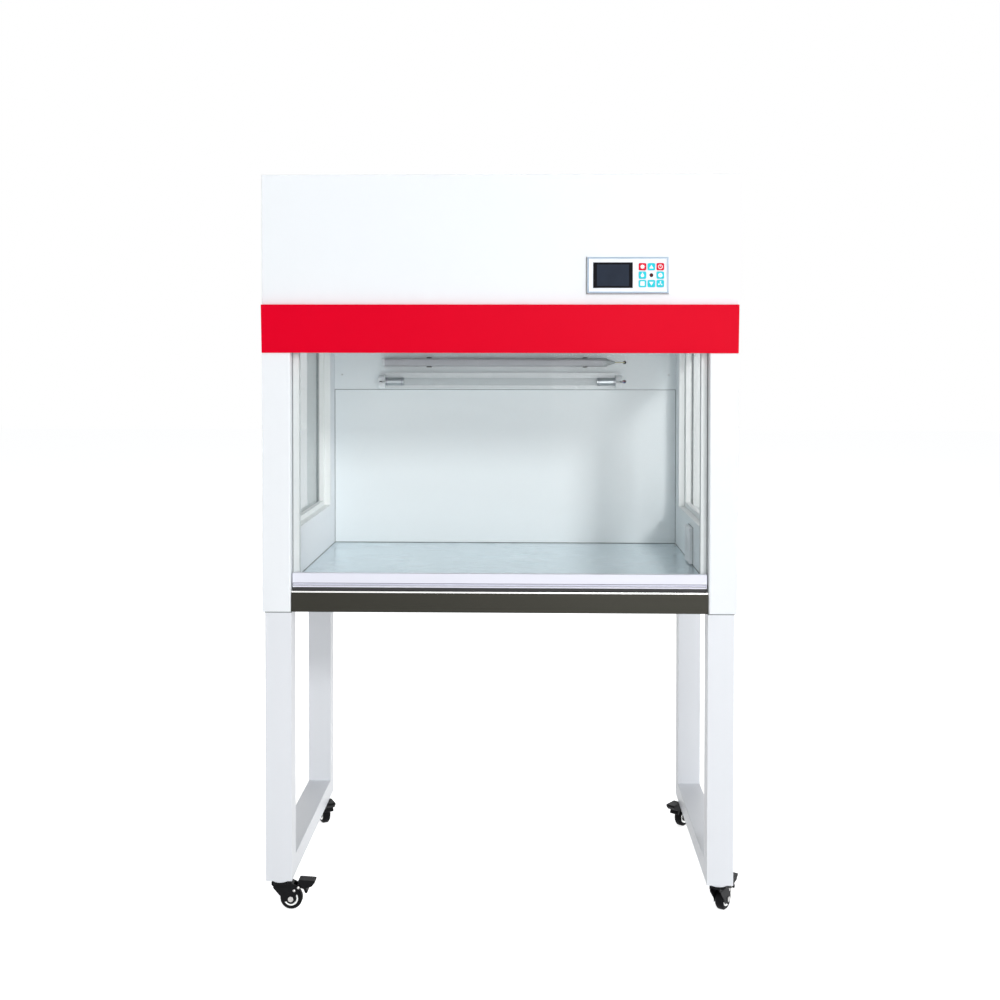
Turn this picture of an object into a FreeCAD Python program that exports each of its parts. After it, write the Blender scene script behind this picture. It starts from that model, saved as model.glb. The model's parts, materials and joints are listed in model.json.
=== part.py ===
import FreeCAD, Part
import math
import os
import Sketcher

# Vertical laminar flow cabinet on a wheeled stand.
# A fan in the head blows filtered air straight down into a glazed work chamber.
# The front is closed by a glass sash that is balanced by two weights in the side walls.
# Frame: millimetres, +X to the user's right, +Y to the back, +Z up.
# The origin is on the floor under the middle of the cabinet.

# A quarter turn in degrees
QUARTER = 90.0

# Driving dimensions: name, value, meaning
SIZES = [
    # Cabinet shell
    ("width", "1040", "width over the side walls"),
    ("body_depth", "678", "front of the posts to the face of the rear cover"),
    ("head_height", "234", "fan deck to the top of the cabinet"),
    ("sheet", "1.5", "thickness of covers and pans"),
    ("wall_sheet", "2", "thickness of the folded side walls"),
    ("wall_width", "62", "thickness of a whole side wall"),
    ("post_round", "4", "radius of the inner front edge of a side wall"),
    ("front_step", "15", "depth of the front cover and of the seat behind it"),
    ("rear_space", "26.5", "back wall of the chamber to the rear cover"),
    ("lamp_panel_drop", "93.5", "foot of the red band down to the foot of the lamp panel"),
    ("lamp_panel_rise", "8", "foot of the red band up to the top of the lamp panel"),
    # Red fascia band
    ("band_rise", "570", "underside of the cabinet to the red band"),
    ("band_height", "105", "height of the red band"),
    ("band_proud", "12", "how far the band stands out at its top"),
    ("band_foot", "4", "how far the band stands out at its foot"),
    # Side windows
    ("window_setback", "93", "front of the posts to the window"),
    ("window_margin", "77", "window to the back wall of the chamber"),
    ("window_sill", "173", "underside of the cabinet to the window"),
    ("window_over", "15", "foot of the red band to the top of the window"),
    ("pane_thick", "5", "thickness of a side pane"),
    ("pane_offset", "28", "inner face of the wall to the pane"),
    ("bead_width", "12", "width of the step that the pane rests on"),
    ("bead_depth", "12", "depth of that step"),
    ("glazing_gap", "0.3", "room round a pane"),
    # Base pan and work surface
    ("pan_height", "46", "height of the base pan"),
    ("pan_setback", "5", "front of the posts to the apron of the base pan"),
    ("pan_gap", "0.3", "room between the pan and the side walls"),
    ("surface_rise", "18", "base pan to the top of the work surface"),
    ("surface_setback", "45", "front of the posts to the work surface"),
    ("surface_gap", "0.5", "room round the work surface"),
    # Sash
    ("sash_setback", "33", "front of the posts to the glass of the sash"),
    ("sash_glass_thick", "5", "thickness of the sash glass"),
    ("sash_glass_inset", "5", "side wall to the edge of the sash glass"),
    ("sash_glass_rise", "57.3", "underside of the cabinet to the glass"),
    ("sash_glass_over", "27.3", "foot of the red band to the top of the closed glass"),
    ("glass_fit", "0.3", "room between the glass and what holds it"),
    ("handle_inset", "2.5", "side wall to the end of the sash handle"),
    ("handle_rise", "53.6", "underside of the cabinet to the handle"),
    ("handle_height", "31.4", "height of the handle"),
    ("handle_setback", "10", "front of the posts to the face of the handle"),
    ("handle_depth", "13.5", "depth of the handle in front of the guides"),
    ("handle_jaw", "16.5", "height of the jaws that hold the glass"),
    ("handle_lip", "5.9", "height of the lip under the groove"),
    ("groove_height", "2.5", "height of the groove over the lip"),
    ("groove_depth", "4", "depth of that groove"),
    ("lip_setback", "1", "how far the lip lies behind the handle's face"),
    ("jaw_thick", "4", "thickness of the jaw behind the glass"),
    ("rail_height", "22", "height of the rail on top of the glass"),
    ("rail_wall", "3", "thickness of a leg of that rail"),
    ("guide_depth", "15", "how far a guide stands off the post"),
    ("guide_width", "18", "width of a guide"),
    ("guide_room", "2", "room between a guide and what slides beside it"),
    ("seal_depth", "13", "depth of that seal"),
    ("seal_setback", "2", "how far the seal lies behind the handle's face"),
    ("rest_gap", "0.3", "room under the seal with the sash down"),
    # Balance of the sash
    ("pulley_pitch", "25.5", "radius from the pulley's axis to the cable"),
    ("pulley_flange", "27", "radius of the pulley's flanges"),
    ("pulley_width", "11", "width of the pulley"),
    ("pulley_groove", "8", "width of the pulley's groove"),
    ("pulley_drop", "42", "top of the cabinet to the pulley's axis"),
    ("pulley_setback", "53", "front of the posts to the plane of the pulley"),
    ("pulley_pin", "4", "radius of the pulley's pin"),
    ("running_gap", "0.05", "radial room of a turning fit"),
    ("bracket_thick", "2", "thickness of a pulley bracket's plates"),
    ("bracket_gap", "0.9", "room between a pulley and its bracket"),
    ("cable_radius", "1", "radius of the steel cable"),
    ("cable_pitch", "2.4", "shift of a cable from the middle of its pulley"),
    ("ear_width", "7", "width of the rail's cable ears"),
    ("ear_height", "10", "height of those ears"),
    ("ear_drop", "22", "top of the glass to the foot of an ear"),
    ("weight_width", "42", "width of a counterweight"),
    ("weight_depth", "60", "depth of a counterweight"),
    ("weight_height", "205", "height of a counterweight"),
    ("weight_drop", "37", "pulley axis to the top of a counterweight"),
    ("weight_chamfer", "3", "chamfer round a counterweight"),
    # Fan deck, filter and diffuser
    ("plenum_height", "140", "filter's underside to the top of the fan deck"),
    ("deck_setback", "67", "front of the posts to the fan deck"),
    ("filter_over", "15", "foot of the red band to the filter's underside"),
    ("filter_height", "69", "height of the filter"),
    ("filter_gap", "3", "room round the filter"),
    ("filter_frame", "15", "thickness of the filter's frame"),
    ("ledge_width", "20", "width of the ledge under the filter"),
    ("pleat_pitch", "20", "distance from one pleat to the next"),
    ("pleat_height", "60", "height of the pleats"),
    ("pleat_paper", "1", "thickness of the pleated paper"),
    ("diffuser_thick", "4.5", "thickness of the diffuser grid"),
    ("diffuser_border", "20", "solid border round the grid"),
    ("diffuser_cell", "52", "side of one opening of the grid"),
    ("diffuser_bar", "6", "bar between two openings"),
    # Fan
    ("volute_radius", "80", "scroll radius where it starts"),
    ("volute_growth", "12", "growth of that radius each quarter turn"),
    ("volute_width", "150", "width of the scroll"),
    ("volute_lift", "6", "room between the scroll and the deck"),
    ("outlet_depth", "71", "depth of the scroll's outlet"),
    ("inlet_radius", "56", "radius of the scroll's two inlets"),
    ("outlet_flange", "10", "width of the flange round the outlet"),
    ("fan_setback", "350", "front of the posts to the fan's axis"),
    ("fan_radius", "70", "outer radius of the impeller"),
    ("fan_ring", "14", "radial width of the impeller's two rings"),
    ("blade_chord", "12", "radial depth of a blade"),
    ("blade_bow", "2.6", "how far a blade bows away from its chord"),
    ("blade_lead", "6", "angle in degrees that a blade's tip runs ahead of its root"),
    ("blade_thick", "1", "thickness of a blade"),
    ("blade_count", "32", "number of blades"),
    ("fan_width", "124", "length of the impeller"),
    ("fan_disc", "4", "thickness of the impeller's rings and web"),
    ("fan_web", "9", "middle of the impeller to its web"),
    ("fan_hub", "16", "length of the impeller's hub"),
    ("hub_radius", "14", "radius of the impeller's hub"),
    ("shaft_radius", "6", "radius of the motor shaft"),
    ("motor_radius", "36", "radius of the motor"),
    ("motor_length", "52", "length of the motor"),
    ("motor_arm", "8", "width of the arms that carry the motor"),
    # Head openings
    ("pad_width", "420", "width of the prefilter pad"),
    ("pad_depth", "300", "depth of the prefilter pad"),
    ("pad_thick", "15", "thickness of the prefilter pad"),
    ("pad_lip", "10", "width of the rails under the pad"),
    ("intake_setback", "360", "front of the posts to the middle of the intake"),
    ("slot_length", "118", "length of an intake slot"),
    ("slot_width", "8", "width of an intake slot"),
    ("slot_pitch_x", "132", "distance between slots across"),
    ("slot_pitch_y", "20", "distance between slots front to back"),
    ("slot_columns", "3", "slots side by side"),
    ("slot_rows", "14", "slots front to back"),
    ("gland_inset", "140", "side of the cabinet to the cable gland"),
    ("gland_drop", "144", "top of the cabinet to the gland"),
    ("gland_bore", "4", "radius of the gland's bore"),
    ("gland_thread", "7.5", "radius of the gland's thread"),
    ("gland_hex", "11", "half width across the flats of the gland"),
    ("gland_proud", "14", "how far the gland stands out of the rear cover"),
    ("gland_inside", "12", "how far the gland reaches inside"),
    # Control panel
    ("panel_inset", "240.5", "side of the cabinet to the panel's middle"),
    ("panel_lift", "64.2", "top of the red band to the panel's middle"),
    ("bezel_width", "178", "width of the panel's bezel"),
    ("bezel_height", "80", "height of the bezel"),
    ("bezel_border", "5", "width of the bezel's border"),
    ("bezel_proud", "6", "how far the bezel stands out"),
    ("bezel_round", "2", "radius of the bezel's outer corners"),
    ("plate_thick", "3", "thickness of the keypad plate"),
    ("panel_seat", "3", "width of the cover's edge that carries the plate"),
    ("screen_width", "86", "width of the display"),
    ("screen_height", "55.5", "height of the display"),
    ("screen_shift", "32.5", "panel's middle to the display's middle"),
    ("screen_proud", "0.3", "how far the display stands out of the plate"),
    ("screen_seat", "1.7", "depth of the display's seat in the plate"),
    ("key_width", "16", "width of a key"),
    ("key_height", "15.4", "height of a key"),
    ("key_round", "3", "radius of a key's corners"),
    ("key_pitch_x", "19.3", "distance between keys across"),
    ("key_pitch_y", "18.3", "distance between keys up and down"),
    ("key_shift", "50.8", "panel's middle to the middle column of keys"),
    ("key_proud", "1.2", "how far a key stands out of the plate"),
    ("key_travel", "0.6", "how far a key moves in"),
    ("key_gap", "0.3", "room round a key"),
    ("key_flange", "1.2", "width and thickness of a key's flange"),
    ("key_stem", "2", "radius of a key's stem"),
    ("board_setback", "7", "front of the cover to the control board"),
    ("board_thick", "1.6", "thickness of the board"),
    ("board_width", "156", "width of the board"),
    ("board_height", "60", "height of the board"),
    ("post_radius", "2.5", "radius of the board's standoffs"),
    ("switch_side", "6", "side of a key switch on the board"),
    ("switch_height", "3.4", "height of a key switch"),
    # Lamps
    ("lamp_middle", "27.5", "how far the lamps' middle lies left of the cabinet's"),
    ("batten_length", "585", "length of the LED batten"),
    ("batten_height", "22.6", "height of the batten"),
    ("batten_depth", "32", "depth of the batten"),
    ("batten_drop", "20.5", "foot of the red band to the batten's middle"),
    ("batten_cap", "7", "length of a batten's end cap"),
    ("batten_round", "7", "radius of the batten's front edges"),
    ("clip_width", "8", "width of a batten clip"),
    ("clip_thick", "0.8", "thickness of a batten clip"),
    ("clip_shift", "209", "batten's middle to a clip"),
    ("plug_length", "22", "length of the batten's tapered plug"),
    ("plug_radius", "9", "radius of the plug where it starts"),
    ("plug_tip", "2.5", "radius of the plug's tip"),
    ("lead_radius", "1.5", "radius of the batten's lead"),
    ("lead_hole", "3.5", "radius of the holes for the leads"),
    ("hole_offset", "319", "middle of the cabinet to the lead holes"),
    ("lead_bend", "6", "radius of the bend of a lead"),
    ("uv_drop", "71.8", "foot of the red band to the tube's axis"),
    ("uv_middle", "11.5", "how far the tube's middle lies left of the cabinet's"),
    ("uv_length", "610", "length of the tube between its holders"),
    ("uv_glass", "9.5", "radius of the tube's glass"),
    ("uv_cap", "10.5", "radius of the tube's metal caps"),
    ("uv_cap_length", "49", "length of a cap"),
    ("uv_pin", "1.2", "radius of a contact pin"),
    ("uv_pin_pitch", "12.7", "distance between the pins of a cap"),
    ("uv_pin_length", "7", "length of a pin"),
    ("uv_standoff", "20", "face of the channel to the tube's axis"),
    ("channel_height", "43", "height of the tube's channel"),
    ("channel_depth", "18", "depth of the channel"),
    ("channel_round", "8", "radius of the channel's corners"),
    ("channel_drop", "2.5", "tube's axis to the middle of the channel"),
    ("holder_thick", "17", "thickness of a lampholder"),
    ("holder_radius", "17", "radius of a lampholder's head"),
    ("holder_slot", "3.5", "height of a lampholder's slot"),
    ("holder_cavity", "8.4", "radius of the space that the pins turn in"),
    ("holder_wall", "5", "thickness of a lampholder behind the pins"),
    ("holder_gap", "0.3", "room between a cap and its holder"),
    ("wire_radius", "1.2", "radius of a lamp wire"),
    ("wire_pitch", "3", "distance between the two lamp wires"),
    # Socket outlet
    ("outlet_side", "86", "side of the socket outlet"),
    ("outlet_thick", "10", "thickness of the outlet"),
    ("outlet_round", "3", "radius of the outlet's edges"),
    ("outlet_setback", "277", "front of the posts to the outlet"),
    ("outlet_lift", "3", "work surface to the outlet"),
    ("pin_slot_length", "7", "length of a slot for a flat pin"),
    ("pin_slot_width", "2", "width of such a slot"),
    ("pin_slot_depth", "8", "depth of such a slot"),
    ("pin_upper_pitch", "12", "distance between the two upper slots"),
    ("pin_upper_rise", "13", "middle of the outlet up to the upper slots"),
    ("pin_earth_drop", "2", "middle of the outlet down to the earth slot"),
    ("pin_lower_pitch", "15.4", "distance between the two lower slots"),
    ("pin_lower_drop", "13.3", "middle of the outlet down to the two lower slots"),
    # Stand
    ("caster_height", "69", "floor to the underside of a leg"),
    ("leg_height", "596", "length of a leg"),
    ("leg_width", "58", "width of a leg across the cabinet"),
    ("leg_depth", "50", "depth of a leg front to back"),
    ("leg_inset", "6", "side of the cabinet to a leg"),
    ("stand_setback", "71", "rear cover to the back of the rear leg"),
    ("rail_rise", "43", "height of the bottom rail"),
    ("strap_thick", "4", "thickness of the strap between the leg tops"),
    ("tube_wall", "2", "wall of the stand's tubes"),
    # Casters
    ("wheel_radius", "24.5", "radius of a wheel"),
    ("wheel_width", "20", "width of a wheel"),
    ("wheel_round", "4", "radius of a wheel's shoulders"),
    ("wheel_dish", "3", "depth of the dish in a wheel's side"),
    ("wheel_rim", "17", "radius of that dish"),
    ("wheel_boss", "8", "radius of the boss in the dish"),
    ("wheel_side_gap", "0.7", "room between a wheel and the fork"),
    ("axle_radius", "4", "radius of the axle"),
    ("axle_lobe", "8", "radius of the fork's end round the axle"),
    ("axle_head", "6", "radius of the axle's head"),
    ("axle_head_thick", "2.5", "thickness of that head"),
    ("trail", "24", "stem to the axle"),
    ("fork_sheet", "2", "thickness of the fork"),
    ("fork_head", "19", "radius of the fork's head"),
    ("fork_drop", "6.3", "underside of a leg to the fork's head"),
    ("fork_head_thick", "5.2", "thickness of the fork's head"),
    ("swivel_cup", "6", "height of the cup over the fork"),
    ("swivel_pin", "5", "radius of the swivel pin"),
    ("swivel_rivet", "8", "radius of the swivel pin's rivet"),
    ("swivel_rivet_thick", "3", "thickness of that rivet"),
    ("swivel_gap", "0.3", "room over and under the fork's head"),
    ("pedal_pivot_x", "41", "stem to the pedal's pivot"),
    ("pedal_pivot_z", "50", "floor to the pedal's pivot"),
    ("pedal_pin", "2", "radius of the pedal's pin"),
    ("pedal_barrel", "5", "radius of the pedal's barrel"),
    ("pedal_reach", "76", "stem to the tip of the pedal"),
    ("pedal_lift", "9", "pedal's pin to the underside of its tip"),
    ("pedal_width", "25", "width of the pedal's tread"),
    ("pedal_thick", "4", "thickness of the pedal's tread"),
    ("front_left_turn", "0", "direction of the front left caster, in degrees"),
    ("front_right_turn", "57", "direction of the front right caster"),
    ("rear_left_turn", "-62", "direction of the rear left caster"),
    ("rear_right_turn", "228", "direction of the rear right caster"),
]

doc = FreeCAD.newDocument("laminar_flow_cabinet")
Vector = FreeCAD.Vector
AXES = {"X": Vector(1, 0, 0), "Y": Vector(0, 1, 0), "Z": Vector(0, 0, 1)}
pieces = []


class Size:
    """A length with its formula over the sheet and its value."""

    def __init__(self, text, number):
        self.text = text
        self.number = number

    def __float__(self):
        return float(self.number)

    def __add__(self, other):
        return Size(f"({self.text} + {formula(other)})", self.number + float(other))

    def __radd__(self, other):
        return Size(f"({formula(other)} + {self.text})", float(other) + self.number)

    def __sub__(self, other):
        return Size(f"({self.text} - {formula(other)})", self.number - float(other))

    def __rsub__(self, other):
        return Size(f"({formula(other)} - {self.text})", float(other) - self.number)

    def __mul__(self, other):
        return Size(f"({self.text} * {formula(other)})", self.number * float(other))

    __rmul__ = __mul__

    def __truediv__(self, other):
        return Size(f"({self.text} / {formula(other)})", self.number / float(other))

    def __neg__(self):
        return Size(f"(0 - {self.text})", -self.number)


def formula(number):
    """The text of a size, or of a plain number."""
    return number.text if isinstance(number, Size) else f"({number})"


class Sizes:
    """The driving dimensions, one attribute for each cell of the sheet."""

    def __init__(self):
        sheet = doc.addObject("Spreadsheet::Sheet", "Sizes")
        for row, (name, number, meaning) in enumerate(SIZES, 1):
            sheet.set(f"A{row}", name)
            sheet.set(f"B{row}", number)
            sheet.set(f"C{row}", meaning)
            sheet.setAlias(f"B{row}", name)
        doc.recompute()
        for name, _, _ in SIZES:
            setattr(self, name, Size(f"Sizes.{name}", float(sheet.get(name))))


s = Sizes()


def bind(thing, prop, size):
    """Tie a property to its formula, or set it where it is a plain number."""
    if isinstance(size, Size):
        thing.setExpression(prop, size.text)
    elif not prop.startswith("Placement"):
        setattr(thing, prop, size)


def place(thing, spot, axis="Z", turn=0.0):
    """Put an object at a spot, turned about one axis."""
    angle = float(turn)
    thing.Placement = FreeCAD.Placement(
        Vector(*[float(c) for c in spot]), FreeCAD.Rotation(AXES[axis], angle)
    )
    for letter, c in zip("xyz", spot):
        bind(thing, f"Placement.Base.{letter}", c)
    return thing


def block(name, x, y, z):
    """A box between two sizes along each axis."""
    box = doc.addObject("Part::Box", name)
    corner = []
    for prop, ends in zip(("Length", "Width", "Height"), (x, y, z)):
        low, high = sorted(ends, key=float)
        bind(box, prop, high - low)
        corner.append(low)
    return place(box, corner)


def rod(name, radius, start, length, axis="Z"):
    """A cylinder that starts at a point and runs along an axis."""
    cylinder = doc.addObject("Part::Cylinder", name)
    bind(cylinder, "Radius", radius)
    bind(cylinder, "Height", length)
    about, turn = {"X": ("Y", 90), "Y": ("X", -90), "Z": ("Z", 0)}[axis]
    return place(cylinder, start, about, turn)


def fuse(name, *parts):
    """Pieces joined into one."""
    joined = doc.addObject("Part::MultiFuse", name)
    joined.Shapes = list(parts)
    joined.Refine = True
    return joined


def cut(name, base, *tools):
    """A piece with other shapes taken out of it."""
    result = doc.addObject("Part::Cut", name)
    result.Base = base
    result.Tool = tools[0] if len(tools) == 1 else fuse(name + "_tools", *tools)
    return result


def group(name, *parts):
    """Separate solids that share one node."""
    bundle = doc.addObject("Part::Compound", name)
    bundle.Links = list(parts)
    return bundle


def rounded(name, base, radius, chosen, kind="Part::Fillet"):
    """A piece with the edges that a test chooses rounded or chamfered."""
    doc.recompute()
    result = doc.addObject(kind, name)
    result.Base = base
    size = float(radius)
    result.Edges = [
        (number, size, size) for number, edge in enumerate(base.Shape.Edges, 1) if chosen(edge)
    ]
    return result


def runs_along(edge, axis):
    """True where a straight edge is parallel to an axis."""
    if edge.Curve.TypeId != "Part::GeomLine":
        return False
    return abs(abs(edge.Curve.Direction.dot(AXES[axis])) - 1) < 1e-6


def draw(body, plane, points):
    """A closed outline on one of a body's planes, each corner tied to its sizes."""
    sketch = body.newObject("Sketcher::SketchObject", body.Name + "_outline")
    support = [f for f in body.Origin.OriginFeatures if f.Role == plane][0]
    sketch.AttachmentSupport = [(support, "")]
    sketch.MapMode = "FlatFace"
    spots = [Vector(float(u), float(v), 0) for u, v in points]
    count = len(points)
    for i in range(count):
        sketch.addGeometry(Part.LineSegment(spots[i], spots[(i + 1) % count]), False)
    for i in range(count):
        sketch.addConstraint(Sketcher.Constraint("Coincident", i, 2, (i + 1) % count, 1))
    for i, corner in enumerate(points):
        for kind, c in zip(("DistanceX", "DistanceY"), corner):
            number = sketch.addConstraint(Sketcher.Constraint(kind, -1, 1, i, 1, float(c)))
            if isinstance(c, Size):
                sketch.setExpression(f"Constraints[{number}]", c.text)
    return sketch


def extrusion(name, plane, points, length):
    """An outline padded by the same amount to both sides of its plane."""
    body = doc.addObject("PartDesign::Body", name)
    sketch = draw(body, plane, points)
    pad = body.newObject("PartDesign::Pad", name + "_pad")
    pad.Profile = sketch
    pad.SideType = "Symmetric"
    bind(pad, "Length", length)
    return body


def turned(name, points):
    """An outline of lengths and radii turned once round the axis that runs front to back."""
    body = doc.addObject("PartDesign::Body", name)
    sketch = draw(body, "YZ_Plane", points)
    spin = body.newObject("PartDesign::Revolution", name + "_turn")
    spin.Profile = sketch
    spin.ReferenceAxis = (sketch, ["H_Axis"])
    spin.Angle = 360
    return body


def solid(name, shape):
    """A piece whose shape is worked out from the sheet's sizes here."""
    feature = doc.addObject("Part::Feature", name)
    feature.Shape = shape
    return feature


def piece(name, thing):
    """Give a finished piece its name."""
    thing.Label = name
    pieces.append(thing)
    return thing


# Main planes
half = s.width / 2
inner = half - s.wall_width
y_rear = (s.body_depth + s.band_proud) / 2
y_front = y_rear - s.body_depth
y_seat = y_front + s.front_step
y_skin = y_rear - s.sheet
y_back = y_skin - s.rear_space
y_stand = y_rear - s.stand_setback
y_window = y_front + s.window_setback
y_window_end = y_back - s.window_margin
z_base = s.caster_height + s.leg_height
z_pan = z_base + s.pan_height
z_work = z_pan + s.surface_rise
z_band = z_base + s.band_rise
z_cover = z_band + s.band_height
z_panel = z_cover + s.panel_lift
z_window = z_base + s.window_sill
z_window_end = z_band + s.window_over
z_filter = z_band + s.filter_over
z_ledge = z_filter - s.sheet
z_deck = z_filter + s.plenum_height
z_top = z_deck + s.head_height
z_lid = z_top - s.sheet
z_gland = z_top - s.gland_drop
z_batten = z_band - s.batten_drop
z_tube = z_band - s.uv_drop
x_panel = half - s.panel_inset
x_gland = s.gland_inset - half
y_glass = y_front + s.sash_setback
y_glass_back = y_glass + s.sash_glass_thick
y_guide = y_glass_back - (s.guide_width + s.sash_glass_thick) / 2
y_guide_back = y_guide + s.guide_width
x_guide = inner - s.guide_depth
x_slide = x_guide - s.guide_room
x_glass = inner - s.sash_glass_inset
z_glass = z_base + s.sash_glass_rise
z_glass_top = z_band + s.sash_glass_over
y_pulley = y_front + s.pulley_setback
z_pulley = z_top - s.pulley_drop
x_cable = x_slide - s.ear_width / 2
x_pulley = x_cable + s.pulley_pitch
x_weight = x_pulley + s.pulley_pitch
overcut = 1.0


def side_wall(hand, side):
    """A folded box wall with a post, a window and the seat of a pulley."""
    t = s.wall_sheet
    x_in, x_out = side * inner, side * half
    x_in_skin, x_out_skin = side * (inner + t), side * (half - t)
    y_win, y_win_end = y_window, y_window_end
    z_win, z_win_end = z_window, z_window_end
    outer = block(f"{hand}_wall_block", (x_in, x_out), (y_front, y_skin), (z_base, z_lid))

    def inner_front(edge):
        middle = edge.CenterOfMass
        return (
            runs_along(edge, "Z")
            and abs(middle.x - float(x_in)) < 1e-6
            and abs(middle.y - float(y_front)) < 1e-6
        )

    outer = rounded(f"{hand}_wall_rounded", outer, s.post_round, inner_front)
    step = block(
        f"{hand}_wall_step",
        (side * (inner - overcut), side * (half + overcut)),
        (y_front - overcut, y_seat),
        (z_band, z_top),
    )
    low_hollow = block(
        f"{hand}_low_hollow", (x_in_skin, x_out_skin), (y_front + t, y_rear), (z_base + t, z_band - t)
    )
    high_hollow = block(
        f"{hand}_high_hollow", (x_in_skin, x_out_skin), (y_seat + t, y_rear), (z_base + t, z_lid - t)
    )
    reveal = block(
        f"{hand}_reveal", (x_in, x_out), (y_win - t, y_win_end + t), (z_win - t, z_win_end + t)
    )
    hollow = cut(f"{hand}_hollow", fuse(f"{hand}_hollows", low_hollow, high_hollow), reveal)
    window = block(
        f"{hand}_window",
        (side * (inner - overcut), side * (half + overcut)),
        (y_win, y_win_end),
        (z_win, z_win_end),
    )
    notch = block(
        f"{hand}_notch",
        (side * (inner - overcut), side * (inner + t + overcut)),
        (y_pulley - s.pulley_width / 2 - s.bracket_gap, y_pulley + s.pulley_width / 2 + s.bracket_gap),
        (z_pulley - s.pulley_flange - s.bracket_thick, z_lid - t),
    )
    shell = cut(f"{hand}_wall_shell", outer, step, hollow, window, notch)

    x_bead = (side * (inner + s.pane_offset - s.bead_depth), side * (inner + s.pane_offset))
    w = s.bead_width
    bead_block = block(f"{hand}_bead_block", x_bead, (y_win, y_win_end), (z_win, z_win_end))
    bead_hole = block(
        f"{hand}_bead_hole", x_bead, (y_win + w, y_win_end - w), (z_win + w, z_win_end - w)
    )
    bead = cut(f"{hand}_bead", bead_block, bead_hole)

    plates = []
    reach = s.pulley_width / 2 + s.bracket_gap
    for number, near in enumerate((y_pulley - reach - s.bracket_thick, y_pulley + reach)):
        plates.append(
            block(
                f"{hand}_pulley_plate_{number}",
                (side * (x_pulley - 2 * s.pulley_pin), side * (x_pulley + 2 * s.pulley_pin)),
                (near, near + s.bracket_thick),
                (z_pulley - 2 * s.pulley_pin, z_pulley + 2 * s.pulley_pin),
            )
        )
    pin = rod(
        f"{hand}_pulley_pin",
        s.pulley_pin,
        (side * x_pulley, y_pulley - reach - s.bracket_thick, z_pulley),
        2 * (reach + s.bracket_thick),
        "Y",
    )
    wall = fuse(f"{hand}_wall_whole", shell, bead, *plates, pin)
    return piece(f"{hand}_side_wall", wall)


def side_panes():
    """The two fixed panes of the side windows."""
    panes = []
    gap = s.glazing_gap
    for hand, side in (("left", -1), ("right", 1)):
        x_pane = inner + s.pane_offset
        panes.append(
            block(
                f"{hand}_pane",
                (side * x_pane, side * (x_pane + s.pane_thick)),
                (y_window + gap, y_window_end - gap),
                (z_window + gap, z_window_end - gap),
            )
        )
    piece("window_panes", group("panes", *panes))


def lead_hole(name, z, y_end):
    """A hole through the back of the chamber for a lamp's lead."""
    y = y_back - 2 * s.sheet
    return rod(name, s.lead_hole, (s.hole_offset, y, z), y_end - y, "Y")


def back_walls():
    """The back wall of the chamber and the lamp panel in front of its top."""
    z_leads = (z_batten, z_tube)
    y_behind = y_back + s.sheet
    wall = block("back_wall_sheet", (-inner, inner), (y_back, y_behind), (z_pan, z_deck - s.sheet))
    holes = [lead_hole(f"back_wall_hole_{i}", z, y_behind) for i, z in enumerate(z_leads)]
    piece("chamber_back_wall", cut("back_wall_cut", wall, *holes))
    panel = block(
        "lamp_panel_sheet",
        (-inner, inner),
        (y_back - s.sheet, y_back),
        (z_band - s.lamp_panel_drop, z_band + s.lamp_panel_rise),
    )
    holes = [lead_hole(f"lamp_panel_hole_{i}", z, y_behind) for i, z in enumerate(z_leads)]
    piece("lamp_panel", cut("lamp_panel_cut", panel, *holes))


def rear_cover():
    """The sheet that closes the back, with the hole of the cable gland."""
    sheet = block("rear_sheet", (-half, half), (y_skin, y_rear), (z_base, z_lid))
    hole = rod("gland_hole", s.gland_thread + s.running_gap, (x_gland, y_skin, z_gland), s.sheet, "Y")
    piece("rear_cover", cut("rear_sheet_cut", sheet, hole))


def cable_gland():
    """A round gland with a hexagon and a domed nut, bored for the mains cable."""
    nut_share, dome_share = 0.45, 0.8
    proud, inside = s.gland_proud, s.gland_inside
    flats = doc.addObject("Part::Prism", "gland_hexagon")
    flats.Polygon = 6
    bind(flats, "Circumradius", s.gland_hex / math.cos(math.pi / 6))
    bind(flats, "Height", proud * nut_share)
    place(flats, (0, 0, 0))
    dome = doc.addObject("Part::Cone", "gland_dome")
    bind(dome, "Radius1", s.gland_hex)
    bind(dome, "Radius2", s.gland_hex * dome_share)
    bind(dome, "Height", proud * (1 - nut_share))
    place(dome, (0, 0, proud * nut_share))
    thread = rod("gland_thread_rod", s.gland_thread, (0, 0, -inside), inside)
    locknut = doc.addObject("Part::Prism", "gland_locknut")
    locknut.Polygon = 6
    bind(locknut, "Circumradius", s.gland_hex / math.cos(math.pi / 6))
    bind(locknut, "Height", inside / 3)
    place(locknut, (0, 0, -s.sheet - inside / 3))
    bore = rod("gland_bore_rod", s.gland_bore, (0, 0, -inside), inside + proud)
    gland = cut("gland_whole", fuse("gland_body", flats, dome, thread, locknut), bore)
    place(gland, (x_gland, y_rear, z_gland), "X", -90)
    piece("cable_gland", gland)


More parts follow.
